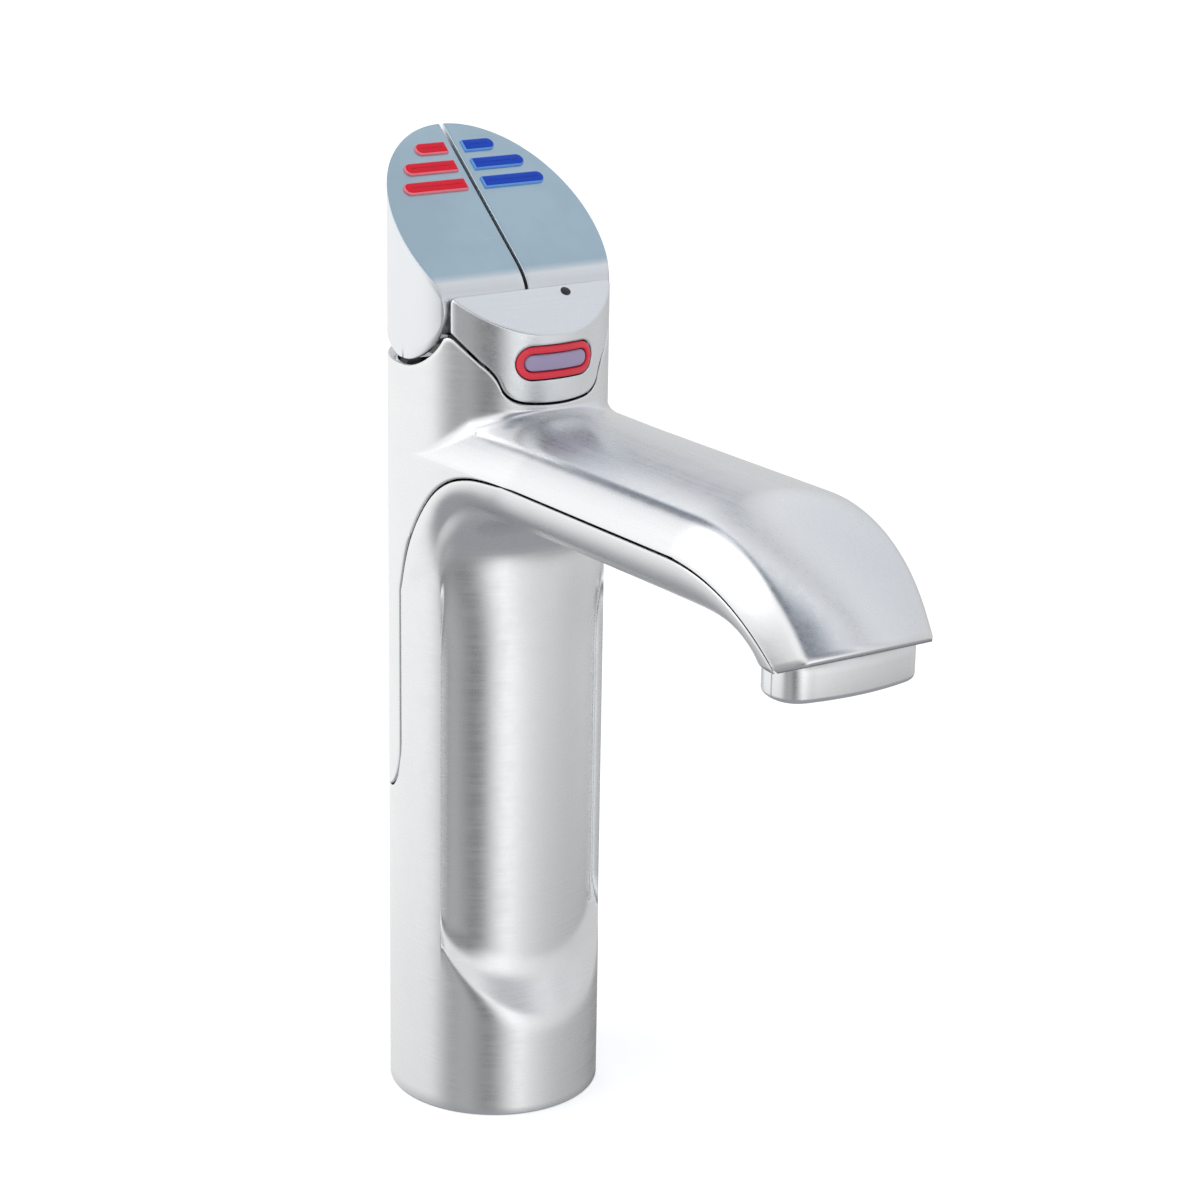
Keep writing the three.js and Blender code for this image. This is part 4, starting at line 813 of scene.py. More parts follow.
def lever_grids(head):
    """Right-hand lever: its side view carried sideways, cut by the column's circle x^2 + y^2 = 30^2.

    Columns stand at even angles of that circle. Edges along the circle and the groove drop by a quarter
    round. The underside is only a rim, so the piece is open below.
    """
    edge = millimetres(head.lever_edge)
    top_line, under_line = lever_lines(millimetres(head.lip_radius))
    near = GROOVE + edge * np.array([0.0, 0.12, 0.4, 1.0])
    columns = np.concatenate([near, COLUMN * np.sin(np.linspace(math.asin(2.2 / COLUMN), math.pi / 2, 64))])
    reach = circle(columns)
    front = np.maximum(-reach, -LOBE)
    rear_shares = np.linspace(0.965, 1, 9)
    shares = np.concatenate([np.linspace(0, 0.3, 26)[:-1], np.linspace(0.3, 0.965, 22)[:-1], rear_shares])
    groove = rolled(columns - GROOVE, edge)

    def sheet(side_view, sign, picked):
        """A line of the side view carried across the columns; the sign says which way its edges drop."""
        y, z = part_of_line(side_view, front, reach, picked)
        near_edge = np.clip(edge - (COLUMN - np.hypot(y, columns)), 0, edge)
        cut = edge - np.sqrt(np.maximum(edge ** 2 - near_edge ** 2, 0))
        return stacked(columns, y, z - sign * (cut + groove))

    top = sheet(top_line, 1, shares)
    rim = sheet(under_line, -1, np.concatenate([np.linspace(0.82, 0.965, 8)[:-1], rear_shares]))
    lobe = sheet(under_line, -1, np.linspace(0, 0.16, 9))
    round_front = columns < math.sqrt(COLUMN ** 2 - LOBE ** 2) - 0.01
    seat = (top[0] + lobe[0]) / 2
    top[0, round_front] = seat[round_front]
    lobe[0, round_front] = seat[round_front]
    low = top[:, 0].copy()
    low[:, 2] = np.minimum(np.interp(low[:, 1], under_line[:, 0], under_line[:, 1]) + edge, low[:, 2])
    t = np.linspace(0, 1, 9)[:, None, None]
    rear_wall, front_wall, inner_wall = (
        start * (1 - t) + end * t for start, end in ((rim[-1], top[-1]), (lobe[0], top[0]), (top[:, 0], low)))
    return [top, rim, lobe, rear_wall, front_wall, inner_wall]


def wall_share(points):
    """Share of the lever's wall that fits under the sloping face, which leans out over the rear."""
    room = (circle(points[:, 0]) - points[:, 1]) / (LEVER_WALL * math.sin(FACE_ANGLE))
    return np.where(np.abs(face_rise(points)) < 0.8, np.clip(room - 0.15, 0.0, 1.0), 1.0)


def bar_outline(inset, outer, corner=0.35, count=14):
    """Outline of a bar seen square on: small corners at the groove's end, a half circle at the other."""
    half = BAR_HALF - inset
    small = min(max(corner - inset, 0.02), half * 0.9)
    turn = np.linspace(-math.pi / 2, math.pi / 2, 26)
    nose = stacked(outer - BAR_HALF + half * np.cos(turn), half * np.sin(turn))
    first = BAR_INNER + min(inset, 1.5)
    quarter = np.linspace(math.pi / 2, math.pi, 6)
    upper = stacked(first + small + small * np.cos(quarter), half - small + small * np.sin(quarter))
    lower = upper[::-1] * [1, -1]
    straight = np.linspace(0, 1, count)[1:-1, None]
    over = nose[-1] + (upper[0] - nose[-1]) * straight
    under = lower[-1] + (nose[0] - lower[-1]) * straight
    return np.vstack([nose, over, upper, lower, under])


def bar_grid(head, row):
    """A right-hand bar: outlines stacked from inside the lever to a softly domed top."""
    height = millimetres(head.bar_height)
    levels = [(0.0, -1.0), (0.0, height * 0.35), (0.12, height * 0.72), (0.34, height * 0.93),
              (0.7, height), (1.3, height * 1.03), (1.96, height * 1.05)]
    y = BAR_FIRST - BAR_PITCH * row
    rises = np.array([rise for _, rise in levels])[:, None]
    x, along = np.moveaxis([bar_outline(inset, BAR_OUTER[row]) for inset, _ in levels], -1, 0)
    grid = stacked(
        x, y + along * math.cos(FACE_ANGLE) - rises * math.sin(FACE_ANGLE),
        FACE_HEIGHT + FACE_SLOPE * y + along * math.sin(FACE_ANGLE) + rises * math.cos(FACE_ANGLE))
    base = grid[:1].mean(axis=1, keepdims=True) * 0.999 + grid[:1] * 0.001
    return np.concatenate([base, grid])


def face_rise(centres):
    """Height of points above the levers' sloping face."""
    return (centres[:, 2] - FACE_HEIGHT - FACE_SLOPE * centres[:, 1]) * math.cos(FACE_ANGLE)


# ---------------------------------------------------------------- fascia, button and indicator

BUTTON_HEIGHT = 217.5
FASCIA_TOP = 234.4
FACET_FOOT = (COLUMN, 224.8)      # forward distance and height of the sloping facet's front and rear
FACET_REAR = (16.3, 234.5)
FACET_ANGLE = math.atan((FACET_REAR[1] - FACET_FOOT[1]) / (FACET_FOOT[0] - FACET_REAR[0]))
HOLE_RADIUS = 4.7                 # radii of the ends of the button's hole, the light ring and the cap
RING_OUTER, RING_INNER = 4.4, 2.5
CAP_RADIUS = 2.2
PILL_SPINE = 7.3                  # half length of the straight sides of all three
RING_BACK = 27.0                  # forward distance of the light ring's back
LENS_PLACE = (9.6, 18.2)          # x and forward distance of the indicator's lens
LENS_RADIUS = 1.42


def fascia_surface(x, z):
    """Forward distance of the fascia: the column's circle, cut by a plane sloping back at 35.3 degrees."""
    facet = FACET_REAR[0] + (FACET_REAR[1] - z) / math.tan(FACET_ANGLE)
    return soft_min(circle(x), facet, 0.7)


def pill_outline(radius, count=120):
    """A pill of half length 7.3 + radius about the button's centre, as x and z, anticlockwise."""
    turn = np.linspace(-math.pi / 2, math.pi / 2, count // 3)
    right = stacked(PILL_SPINE + radius * np.cos(turn), radius * np.sin(turn))
    over = stacked(np.linspace(PILL_SPINE, -PILL_SPINE, count // 6 + 2)[1:-1], radius)
    outline = np.vstack([right, over, -right, -over])
    outline[:, 1] += BUTTON_HEIGHT
    return outline


def fascia_grid():
    """Rings from the button's hole out to the fascia's edge, along rays from the button's centre."""
    lower = opening_line(0.0)
    corner = bezier((FASCIA_HALF, 233.0), (FASCIA_HALF, 234.35), (23.6, FASCIA_TOP), np.linspace(0, 1, 10))
    upper = stacked(np.linspace(0.0, 23.6, 30), FASCIA_TOP)
    side = stacked(FASCIA_HALF, np.linspace(233.0, lower[0, 1], 14))
    half = np.vstack([upper[:-1], corner[::-1], side[1:-1], lower])
    outline = both_sides(resample(half, np.linspace(0, 1, 200)))
    centre = np.array([0.0, BUTTON_HEIGHT])
    away = outline - centre
    angle = np.arctan2(away[:, 1], away[:, 0])
    hole = pill_outline(HOLE_RADIUS, 360) - centre
    hole_angle = np.arctan2(hole[:, 1], hole[:, 0])
    order = np.argsort(hole_angle)
    hole_radius = np.linalg.norm(hole, axis=1)[order]
    hole_reach = np.interp(angle, hole_angle[order], hole_radius, period=2 * math.pi)
    reach = np.linalg.norm(away, axis=1)
    ray = away / reach[:, None]
    inner_roll, outer_roll = 0.35, 0.5
    span = reach - hole_reach
    distance = np.vstack([
        (inner_roll * ROLL)[:, None] * np.ones_like(span),
        inner_roll + (span - inner_roll - outer_roll) * np.linspace(0, 1, 44)[1:-1, None],
        span - (outer_roll * ROLL[::-1])[:, None],
    ])
    spot = centre + ray * (hole_reach + distance)[..., None]
    x, z = spot[..., 0], spot[..., 1]
    forward = fascia_surface(x, z) - rolled(distance, inner_roll) - rolled(span - distance, outer_roll)
    return place(x, forward, z)


def ring_grid(head):
    """The light ring: a band between two pills, its front a shallow arch over the column's circle."""
    proud = millimetres(head.ring_proud)
    share = np.linspace(0, 1, 12)
    arch = np.sqrt(np.maximum(1 - (2 * share - 1) ** 2, 0))
    rings = []
    for radius, rise in zip(RING_OUTER + (RING_INNER - RING_OUTER) * share, arch):
        x, z = pill_outline(radius).T
        rings.append(place(x, circle(x) - 0.35 + (proud + 0.35) * rise, z))
    start, end = (place(outline[:, 0], RING_BACK, outline[:, 1]) for outline in (
        pill_outline(RING_OUTER), pill_outline(RING_INNER)))
    return np.array([start] + rings + [end, start])


def cap_grid():
    """The button's cap: a pill whose edge is rounded over 0.6 and whose front is slightly domed."""
    levels = [(2.19, -3.7), (0.0, -3.7), (0.0, -0.6), (0.05, -0.37), (0.18, -0.18), (0.36, -0.06),
              (0.6, 0.0), (1.1, 0.08), (1.6, 0.12), (2.19, 0.14)]
    rings = []
    for inset, rise in levels:
        x, z = pill_outline(CAP_RADIUS - inset).T
        rings.append(place(x, (circle(x) if rise > -1 else 29.5) + rise, z))
    return np.array(rings)


def revolved(profile, centre, axis, count=48):
    """A profile of radius and height turned about an axis through a centre."""
    axis = np.asarray(axis, float) / np.linalg.norm(axis)
    side = np.cross(axis, [1.0, 0.0, 0.0])
    side = side / np.linalg.norm(side)
    other = np.cross(axis, side)
    turn = np.linspace(0, 2 * math.pi, count, endpoint=False)
    ring = np.cos(turn)[:, None] * side + np.sin(turn)[:, None] * other
    profile = np.asarray(profile, float)
    return np.asarray(centre) + profile[:, :1, None] * ring[None] + profile[:, 1:, None] * axis


def lens_grid():
    """The indicator's lens: a small dome standing square to the facet."""
    height = FACET_FOOT[1] + (FACET_FOOT[0] - LENS_PLACE[1]) * math.tan(FACET_ANGLE)
    axis = (0.0, -math.sin(FACET_ANGLE), math.cos(FACET_ANGLE))
    turn = np.linspace(0, math.pi / 2, 10)
    dome = stacked(LENS_RADIUS * np.cos(turn), 0.12 + 0.28 * np.sin(turn))
    profile = np.vstack([[0.001, -2.4], [LENS_RADIUS, -2.4], dome])
    profile[-1, 0] = 0.001
    return revolved(profile, (LENS_PLACE[0], -LENS_PLACE[1], height), axis)


# ---------------------------------------------------------------- outlet block

OUTLET_MIDDLE = 149.75            # forward distance of the bore's axis


def outlet_outline(inset):
    """Outline of the outlet block in plan, as x and forward distance, starting at the rear's middle."""
    half, front, back, corner = 20.4 - inset, 160.4 - inset, 141.5 + inset, 7.0 - inset
    bulge, heel = 2.6, 10.0 - inset
    flat = front - bulge
    t = np.linspace(0, 1, 14)
    right = np.vstack([
        [[0.0, back], [half - heel, back]],
        bezier((half - heel, back), (half, back), (half, back + heel), t)[1:],
        bezier((half, flat - corner), (half, flat), (half - corner, flat + 0.8), t),
        bezier((half - corner, flat + 0.8), (0, front + bulge - 1.6), (corner - half, flat + 0.8),
               np.linspace(0, 0.5, 14))[1:],
    ])
    return both_sides(resample(right, np.linspace(0, 1, 90)))


def outlet_grid():
    """The outlet block: its outline stacked upwards, with a round bore below and a seal groove above."""
    outline = outlet_outline(0.0)
    centre = np.array([0.0, OUTLET_MIDDLE])
    ray = outline - centre
    ray = ray / np.linalg.norm(ray, axis=1)[:, None]
    bore, bottom, top = 6.8, 163.0, 178.5
    mouth = centre + ray * (bore + 0.9)
    turn = np.linspace(0, math.pi / 2, 7)
    stack = [(centre + ray * radius, height) for radius, height in (
        (0.01, 170.7), (3.0, 170.7), (bore, 170.7), (bore, 163.9), (bore + 0.15, 163.4), (bore + 0.5, 163.1),
        (bore + 0.9, bottom))]
    stack += [(mouth + (outlet_outline(1.6) - mouth) * share, bottom) for share in (0.25, 0.5, 0.75)]
    stack += [(outlet_outline(inset), height) for inset, height in (
        *zip(1.6 * (1 - np.sin(turn)), bottom + 1.6 * (1 - np.cos(turn))),
        (0.0, 170.0), (0.0, 175.5), (1.4, 175.6), (1.4, 177.2), (0.0, 177.3), (0.0, top))]
    stack += [(centre + (outline - centre) * share, top) for share in (0.6, 0.25, 0.0001)]
    return np.array([place(spot[:, 0], spot[:, 1], height) for spot, height in stack])


# ---------------------------------------------------------------- materials

class Nodes:
    """Short ways to add nodes to a node tree."""

    def __init__(self, tree):
        self.tree = tree
        tree.nodes.clear()

    def node(self, kind, inputs=None, **settings):
        """A node with its settings made, and each input set to a value or linked to a socket."""
        made = self.tree.nodes.new(kind)
        for key, value in settings.items():
            setattr(made, key, value)
        for key, value in (inputs or {}).items():
            self.feed(made, key, value)
        return made

    def feed(self, node, key, value):
        """Sets one input of a node, or links it."""
        socket = node.inputs[key]
        if isinstance(value, bpy.types.NodeSocket):
            self.tree.links.new(value, socket)
        else:
            socket.default_value = value

    def math(self, operation, a, b=0.0):
        """One sum of two values or sockets."""
        return self.node("ShaderNodeMath", {0: a, 1: b}, operation=operation).outputs[0]

    def ramp(self, value, low, high, out_low, out_high):
        """A value taken from one range to another, and kept inside it."""
        return self.node("ShaderNodeMapRange", {
            "Value": value, "From Min": low, "From Max": high, "To Min": out_low, "To Max": out_high,
        }).outputs[0]

    def noise(self, vector, scale, detail=3.0, roughness=0.55):
        """A noise value about 0.5."""
        return self.node("ShaderNodeTexNoise", {
            "Vector": vector, "Scale": scale, "Detail": detail, "Roughness": roughness,
        }).outputs["Fac"]

    def mix(self, factor, a, b):
        """A colour between two."""
        made = self.node("ShaderNodeMix", data_type="RGBA")
        self.feed(made, 0, factor)
        self.feed(made, 6, a)
        self.feed(made, 7, b)
        return made.outputs[2]

    def stops(self, value, table):
        """A grey level or colour read from a table of (place, level) pairs; places run from 0 to 1."""
        made = self.node("ShaderNodeValToRGB", {0: value})
        elements = made.color_ramp.elements
        while len(elements) < len(table):
            elements.new(0.5)
        for element, (where, level) in zip(elements, table):
            element.position = where
            element.color = (*level, 1.0) if isinstance(level, tuple) else (level, level, level, 1.0)
        return made.outputs[0]


class Recipe(Nodes):
    """A node material under construction."""

    def __init__(self, name):
        self.material = bpy.data.materials.new(name)
        self.material.use_nodes = True
        super().__init__(self.material.node_tree)
        self.shader = self.node("ShaderNodeBsdfPrincipled")
        output = self.node("ShaderNodeOutputMaterial")
        self.tree.links.new(self.shader.outputs["BSDF"], output.inputs["Surface"])

    def set(self, **values):
        """Inputs of the shader, by name with underscores for spaces."""
        for key, value in values.items():
            self.feed(self.shader, key.replace("_", " "), value)

    def bump(self, height, strength, distance):
        """Bumps the surface by a height value."""
        made = self.node("ShaderNodeBump", {"Strength": strength, "Distance": distance, "Height": height})
        self.feed(self.shader, "Normal", made.outputs[0])


def shade(colour, factor):
    """A colour made lighter or darker."""
    return tuple(min(1.0, channel * factor) for channel in colour) + (1.0,)


def brushed_steel(name, colour, roughness, grain="column", contrast=0.05, face=None):
    """Brushed steel: fine streaks round the column or along the spout, faint cloudiness and rubbed patches.

    face gives the levers' sloping face a painted reflection, a darker and bluer copy of the steel, above a
    plane just under it.
    """
    recipe = Recipe(name)
    place_of = recipe.node("ShaderNodeTexCoord").outputs["Object"]
    axes = recipe.node("ShaderNodeSeparateXYZ", {0: place_of}).outputs

    def streaks(*parts):
        """Noise drawn out into streaks: each part is a socket and the number of grains in a metre of it."""
        scaled = {index: recipe.math("MULTIPLY", *part) for index, part in enumerate(parts)}
        return recipe.noise(recipe.node("ShaderNodeCombineXYZ", scaled).outputs[0], 1.0, 4.0, 0.6)

    if grain == "column":
        around = recipe.math("MULTIPLY", recipe.math("ARCTAN2", axes["X"], axes["Y"]), COLUMN * MM)
        on_column = streaks((around, 22.0), (axes["Z"], 950.0))
        on_spout = streaks((axes["X"], 950.0), (axes["Y"], 22.0), (axes["Z"], 950.0))
        along = recipe.ramp(axes["Y"], -COLUMN * MM, -0.040, 0.0, 1.0)
        difference = recipe.math("SUBTRACT", on_spout, on_column)
        streak = recipe.math("ADD", on_column, recipe.math("MULTIPLY", difference, along))
    else:
        streak = streaks((axes["X"], 26.0), (axes["Y"], 1600.0), (axes["Z"], 1600.0))
    cloud = recipe.noise(place_of, 34.0, 4.0, 0.6)
    rub = recipe.noise(place_of, 210.0, 5.0, 0.65)
    tone = recipe.mix(streak, shade(colour, 1.0 - contrast), shade(colour, 1.0 + contrast))
    tone = recipe.mix(recipe.ramp(cloud, 0.35, 0.7, 0.0, 0.35), tone, shade(colour, 0.955))
    # Painted reflection on the levers' sloping face: a darker, bluer copy of the steel with lighter cloudy
    # patches, above a plane just under the face.
    if face:
        slope = recipe.math("ADD", axes["Z"], recipe.math("MULTIPLY", axes["Y"], -FACE_SLOPE))
        above = recipe.ramp(slope, FACE_HEIGHT * MM - 0.0006, FACE_HEIGHT * MM - 0.0001, 0.0, 1.0)
        painted_face_reflection = recipe.mix(streak, shade(face, 1.0 - contrast), shade(face, 1.0 + contrast))
        painted_face_reflection = recipe.mix(recipe.ramp(cloud, 0.4, 0.65, 0.0, 0.8), painted_face_reflection, shade(face, 1.12))
        tone = recipe.mix(above, tone, painted_face_reflection)
    recipe.set(Base_Color=tone, Metallic=1.0)
    rough = recipe.ramp(streak, 0.25, 0.75, roughness - 0.035, roughness + 0.045)
    rough = recipe.math("ADD", rough, recipe.ramp(rub, 0.45, 0.75, 0.0, 0.05))
    recipe.feed(recipe.shader, "Roughness", rough)
    recipe.bump(streak, 0.05, 0.00006)
    return recipe.material


def plain_finish(name, colour, roughness, metallic=0.0, grain=400.0, bump=0.12, depth=0.0001,
                 variation=0.08, emission=None, shine=0.5, stretch=(1.0, 1.0, 1.0)):
    """A finish with grain: two sizes of noise vary the colour, the roughness and the surface."""
    recipe = Recipe(name)
    place_of = recipe.node("ShaderNodeTexCoord").outputs["Object"]
    vector = recipe.node("ShaderNodeMapping", {"Vector": place_of, "Scale": stretch}).outputs[0]
    fine = recipe.noise(vector, grain * 2.5, 4.0, 0.6)
    broad = recipe.noise(place_of, grain * 0.2, 3.0, 0.5)
    tone = recipe.mix(fine, shade(colour, 1.0 - variation), shade(colour, 1.0 + variation))
    tone = recipe.mix(recipe.ramp(broad, 0.35, 0.7, 0.0, 0.5), tone, shade(colour, 1.0 - 1.4 * variation))
    recipe.set(Base_Color=tone, Metallic=metallic, Specular_IOR_Level=shine)
    rough = recipe.ramp(broad, 0.3, 0.7, roughness * 0.88, min(1.0, roughness * 1.15))
    recipe.feed(recipe.shader, "Roughness", rough)
    if emission:
        glow = recipe.ramp(fine, 0.3, 0.7, emission[1] * 0.9, emission[1] * 1.1)
        recipe.set(Emission_Color=tuple(emission[0]) + (1.0,), Emission_Strength=glow)
    recipe.bump(fine, bump, depth)
    return recipe.material


# Nodes carried over from the frame, by slot: their finish (name, colour, roughness, how metallic it is, and
# what else plain_finish is told) and their names.
CARRIED = {
    "brass": (("brass", (0.58, 0.40, 0.16), 0.30, 1.0), {"grain": 500, "variation": 0.07}, ("base_plate",)),
    "screw_steel": (
        ("screw_steel", (0.55, 0.56, 0.58), 0.28, 1.0), {"grain": 600, "variation": 0.06},
        ("base_screw_1", "base_screw_2", "base_screw_3", "chassis_screw_boiling", "chassis_screw_chilled",
         "boiling_return_spring", "chilled_return_spring")),
    "satin_steel": (
        ("magnet_steel", (0.50, 0.51, 0.53), 0.36, 1.0), {"grain": 350, "variation": 0.06},
        ("lever_axle", "spray_nozzle", "boiling_magnet", "chilled_magnet")),
    "black_rubber": (
        ("rubber", (0.018, 0.018, 0.019), 0.78, 0.0), {"grain": 900, "bump": 0.35, "variation": 0.2},
        ("base_seal", "outlet_seal", "sensor_lead")),
    "black_plastic": (
        ("black_plastic", (0.02, 0.02, 0.022), 0.5, 0.0), {"grain": 700, "bump": 0.2, "variation": 0.15},
        ("head_chassis", "tube_clip", "button_switch", "boiling_spacer", "chilled_spacer")),
    "silicone": (
        ("silicone", (0.78, 0.77, 0.73), 0.45, 0.0), {"grain": 250, "bump": 0.08, "variation": 0.03},
        ("boiling_tube", "chilled_tube", "vent_tube")),
    "board_green": (
        ("board_green", (0.012, 0.11, 0.045), 0.45, 0.0), {"grain": 800, "bump": 0.2, "variation": 0.15},
        ("control_board", "button_board")),
}


# ---------------------------------------------------------------- operators

class TAP_OT_lower_casting(bpy.types.Operator):
    """Builds the lower casting: column, front recess, arch and the spout's underside"""

    bl_idname = "tap.lower_casting"
    bl_label = "Lower casting"

    def execute(self, context):
        body, finish = context.scene.tap_body, context.scene.tap_finish
        half = lower_front(body)
        grids = both_halves([half, lower_base(body, half[0])])
        mesh = mesh_from_grids("lower_casting_shell", grids, away_from_axis)
        steel = brushed_steel("casting_steel_lower", finish.steel, finish.steel_roughness)
        piece = add_piece("lower_casting_shell", mesh, "tap_body", steel, ("lower_casting",))
        mesh.set_sharp_from_angle(angle=math.radians(38))
        thicken(piece, body.lower_wall)
        return {"FINISHED"}


class TAP_OT_upper_casting(bpy.types.Operator):
    """Builds the upper casting: tower, fillet, spout top and nose"""

    bl_idname = "tap.upper_casting"
    bl_label = "Upper casting"

    def execute(self, context):
        body, finish = context.scene.tap_body, context.scene.tap_finish
        mesh = mesh_from_grids("upper_casting_shell", both_halves(upper_grids(body)), away_from_axis)
        steel = brushed_steel("casting_steel_upper", finish.steel, finish.steel_roughness)
        piece = add_piece("upper_casting_shell", mesh, "tap_body", steel, ("upper_casting",))
        tower = smoothstep((vectors(mesh.vertices, "co")[:, 2] / MM - THIN_BELOW) / 4.0)
        thicken(piece, body.wall, THIN_WALL + (1 - THIN_WALL) * tower)
        return {"FINISHED"}


class TAP_OT_levers(bpy.types.Operator):
    """Builds the two levers"""

    bl_idname = "tap.levers"
    bl_label = "Levers"

    def execute(self, context):
        head, finish = context.scene.tap_head, context.scene.tap_finish
        # The levers' sloping face gets a painted reflection: a darker, bluer copy of the lever steel.
        steel = brushed_steel("lever_steel", finish.lever_steel, 0.30, grain="face", contrast=0.04,
                              face=tuple(finish.face_reflection_steel))
        grids = lever_grids(head)
        for side, name in ((-1, "boiling_lever"), (1, "chilled_lever")):
            sided = [(grid * np.array([side, 1, 1]), False) for grid in grids]
            mesh = mesh_from_grids(name + "_shell", sided, away_from((14 * side, 4, 233)))
            piece = add_piece(name + "_shell", mesh, name, steel, (name,))
            thicken(piece, LEVER_WALL * MM, wall_share(vectors(mesh.vertices, "co") / MM))
        return {"FINISHED"}


class TAP_OT_bars(bpy.types.Operator):
    """Builds the red and blue bars on the levers"""

    bl_idname = "tap.bars"
    bl_label = "Colour bars"

    def execute(self, context):
        head, finish = context.scene.tap_head, context.scene.tap_finish
        kinds = (
            (-1, "boiling", "red_inlay", finish.red, (0.86, 0.22, 0.27)),
            (1, "chilled", "blue_inlay", finish.blue, (0.12, 0.36, 0.80)),
        )
        for side, name, slot, colour, border in kinds:
            paint = plain_finish(
                name + "_bar_paint", colour, 0.30, grain=700, bump=0.05, variation=0.07, shine=0.25)
            edge = plain_finish(name + "_bar_edge", border, 0.38, grain=700, bump=0.06, variation=0.06)
            for row in range(3):
                grid = bar_grid(head, row) * np.array([side, 1, 1])
                label = f"{name}_bar_{row + 1}"
                inside = grid.mean(axis=(0, 1))
                mesh = add_closed(label + "_inlay", grid, inside, name + "_lever", paint, label).data
                mesh.materials.append(edge)
                rise = face_rise(vectors(mesh.polygons, "center") / MM)
                low = rise < millimetres(head.bar_height) * 0.85
                mesh.polygons.foreach_set("material_index", low.astype(np.int32))
        return {"FINISHED"}


class TAP_OT_fascia(bpy.types.Operator):
    """Builds the fascia with its sloping facet"""

    bl_idname = "tap.fascia"
    bl_label = "Fascia"

    def execute(self, context):
        body, finish = context.scene.tap_body, context.scene.tap_finish
        steel = brushed_steel("fascia_steel", finish.lever_steel, 0.28, grain="face", contrast=0.04)
        piece = add_closed(
            "fascia_shell", fascia_grid(), (0, 0, 218), "tap_body", steel, "fascia")
        thicken(piece, body.fascia_wall)
        return {"FINISHED"}


class TAP_OT_button(bpy.types.Operator):
    """Builds the light ring, the safety button's cap and the indicator's lens"""

    bl_idname = "tap.button"
    bl_label = "Safety button"

    def execute(self, context):
        head, finish = context.scene.tap_head, context.scene.tap_finish
        middle = (0, -28, BUTTON_HEIGHT)
        glow = plain_finish("ring_glow", (0.80, 0.03, 0.06), 0.35, grain=500, bump=0.04, variation=0.10,
                            emission=((1.0, 0.05, 0.08), 0.04))
        ring = add_closed(
            "light_ring", ring_grid(head), middle, "tap_body", glow, "button_light_ring")
        ring.visible_glossy = False
        plastic = plain_finish("button_plastic", finish.button, 0.36, grain=600, bump=0.05, variation=0.05)
        add_closed("button_cap", cap_grid(), middle, "button", plastic, "safety_button")
        black = plain_finish("lens_black", (0.012, 0.012, 0.014), 0.18, grain=900, bump=0.03, variation=0.2)
        grid = lens_grid()
        add_closed(
            "lens", grid, grid.mean(axis=(0, 1)), "tap_body", black, "indicator_lens")
        return {"FINISHED"}


class TAP_OT_outlet(bpy.types.Operator):
    """Builds the outlet block under the spout's nose"""

    bl_idname = "tap.outlet"
    bl_label = "Outlet block"

    def execute(self, context):
        finish = context.scene.tap_finish
        steel = brushed_steel("outlet_steel", finish.steel, finish.steel_roughness, grain="face")
        middle = (0, -OUTLET_MIDDLE, 174)
        add_closed("outlet_shell", outlet_grid(), middle, "tap_body", steel, "outlet_block")
        return {"FINISHED"}


class TAP_OT_carried(bpy.types.Operator):
    """Gives the pieces carried over from the frame their finishes"""

    bl_idname = "tap.carried"
    bl_label = "Inner pieces"

    def execute(self, context):
        for slot, (finish, settings, names) in CARRIED.items():
            material = plain_finish(*finish, **settings)
            for name in names:
                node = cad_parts[name]
                node.data.materials.clear()
                node.data.materials.append(material)
        return {"FINISHED"}


# Brightness of the studio round the tap, by angle from the camera's direction, from far left to far right:
# first as the foot of the column shows it, then as the rest does.
STUDIO_LOW = (
    (-180, 0.82), (-70, 0.88), (-56, 0.52), (-46, 0.36), (-31, 0.54), (-20, 0.44), (-8, 0.24), (2, 0.28),
    (14, 0.66), (28, 1.25), (40, 0.85), (70, 0.50), (110, 0.38), (150, 0.22), (168, 0.24), (180, 0.60),
)
STUDIO_HIGH = (
    (-180, 1.02), (-70, 1.06), (-58, 0.62), (-45, 0.34), (-31, 0.46), (-20, 0.30), (-9, 0.15), (1, 0.24),
    (12, 0.95), (26, 1.30), (42, 0.98), (60, 0.82), (95, 0.66), (125, 0.68), (160, 0.55), (180, 0.75),
)
# Overhead, by how far a direction points along OVERHEAD_AXIS (right, away from the camera, up).
OVERHEAD_AXIS = (0.728, 0.517, 0.451)
OVERHEAD = (
    (-1.0, (1.06, 1.06, 1.06)), (-0.14, (1.08, 1.08, 1.08)), (-0.05, (0.52, 0.55, 0.60)),
    (0.05, (0.11, 0.13, 0.16)), (0.30, (0.15, 0.17, 0.21)), (0.37, (0.26, 0.29, 0.34)),
    (0.42, (0.80, 0.88, 0.97)), (0.49, (1.15, 1.15, 1.15)), (0.58, (0.88, 0.89, 0.92)),
    (0.615, (0.34, 0.36, 0.41)), (0.65, (0.34, 0.36, 0.40)), (0.71, (0.80, 0.81, 0.83)),
    (0.79, (0.82, 0.84, 0.87)), (0.86, (0.76, 0.79, 0.83)), (1.0, (0.70, 0.73, 0.77)),
)
STUDIO_BELOW = (0.34, 0.35, 0.37)
BRIGHTEST = 2.0                   # what a full stop of the tables stands for
FLOOR_REACH = 40.0                # metres from the tap to the floor's edge
FLOOR_GLOW = 0.42                 # the floor's own light, which keeps it pale
SENSOR = 36.0                     # the camera's width and focal length in millimetres, its shift and its roll
LENS = 90.69
LENS_SHIFT = 0.0864
CAMERA_ROLL = math.radians(0.39)


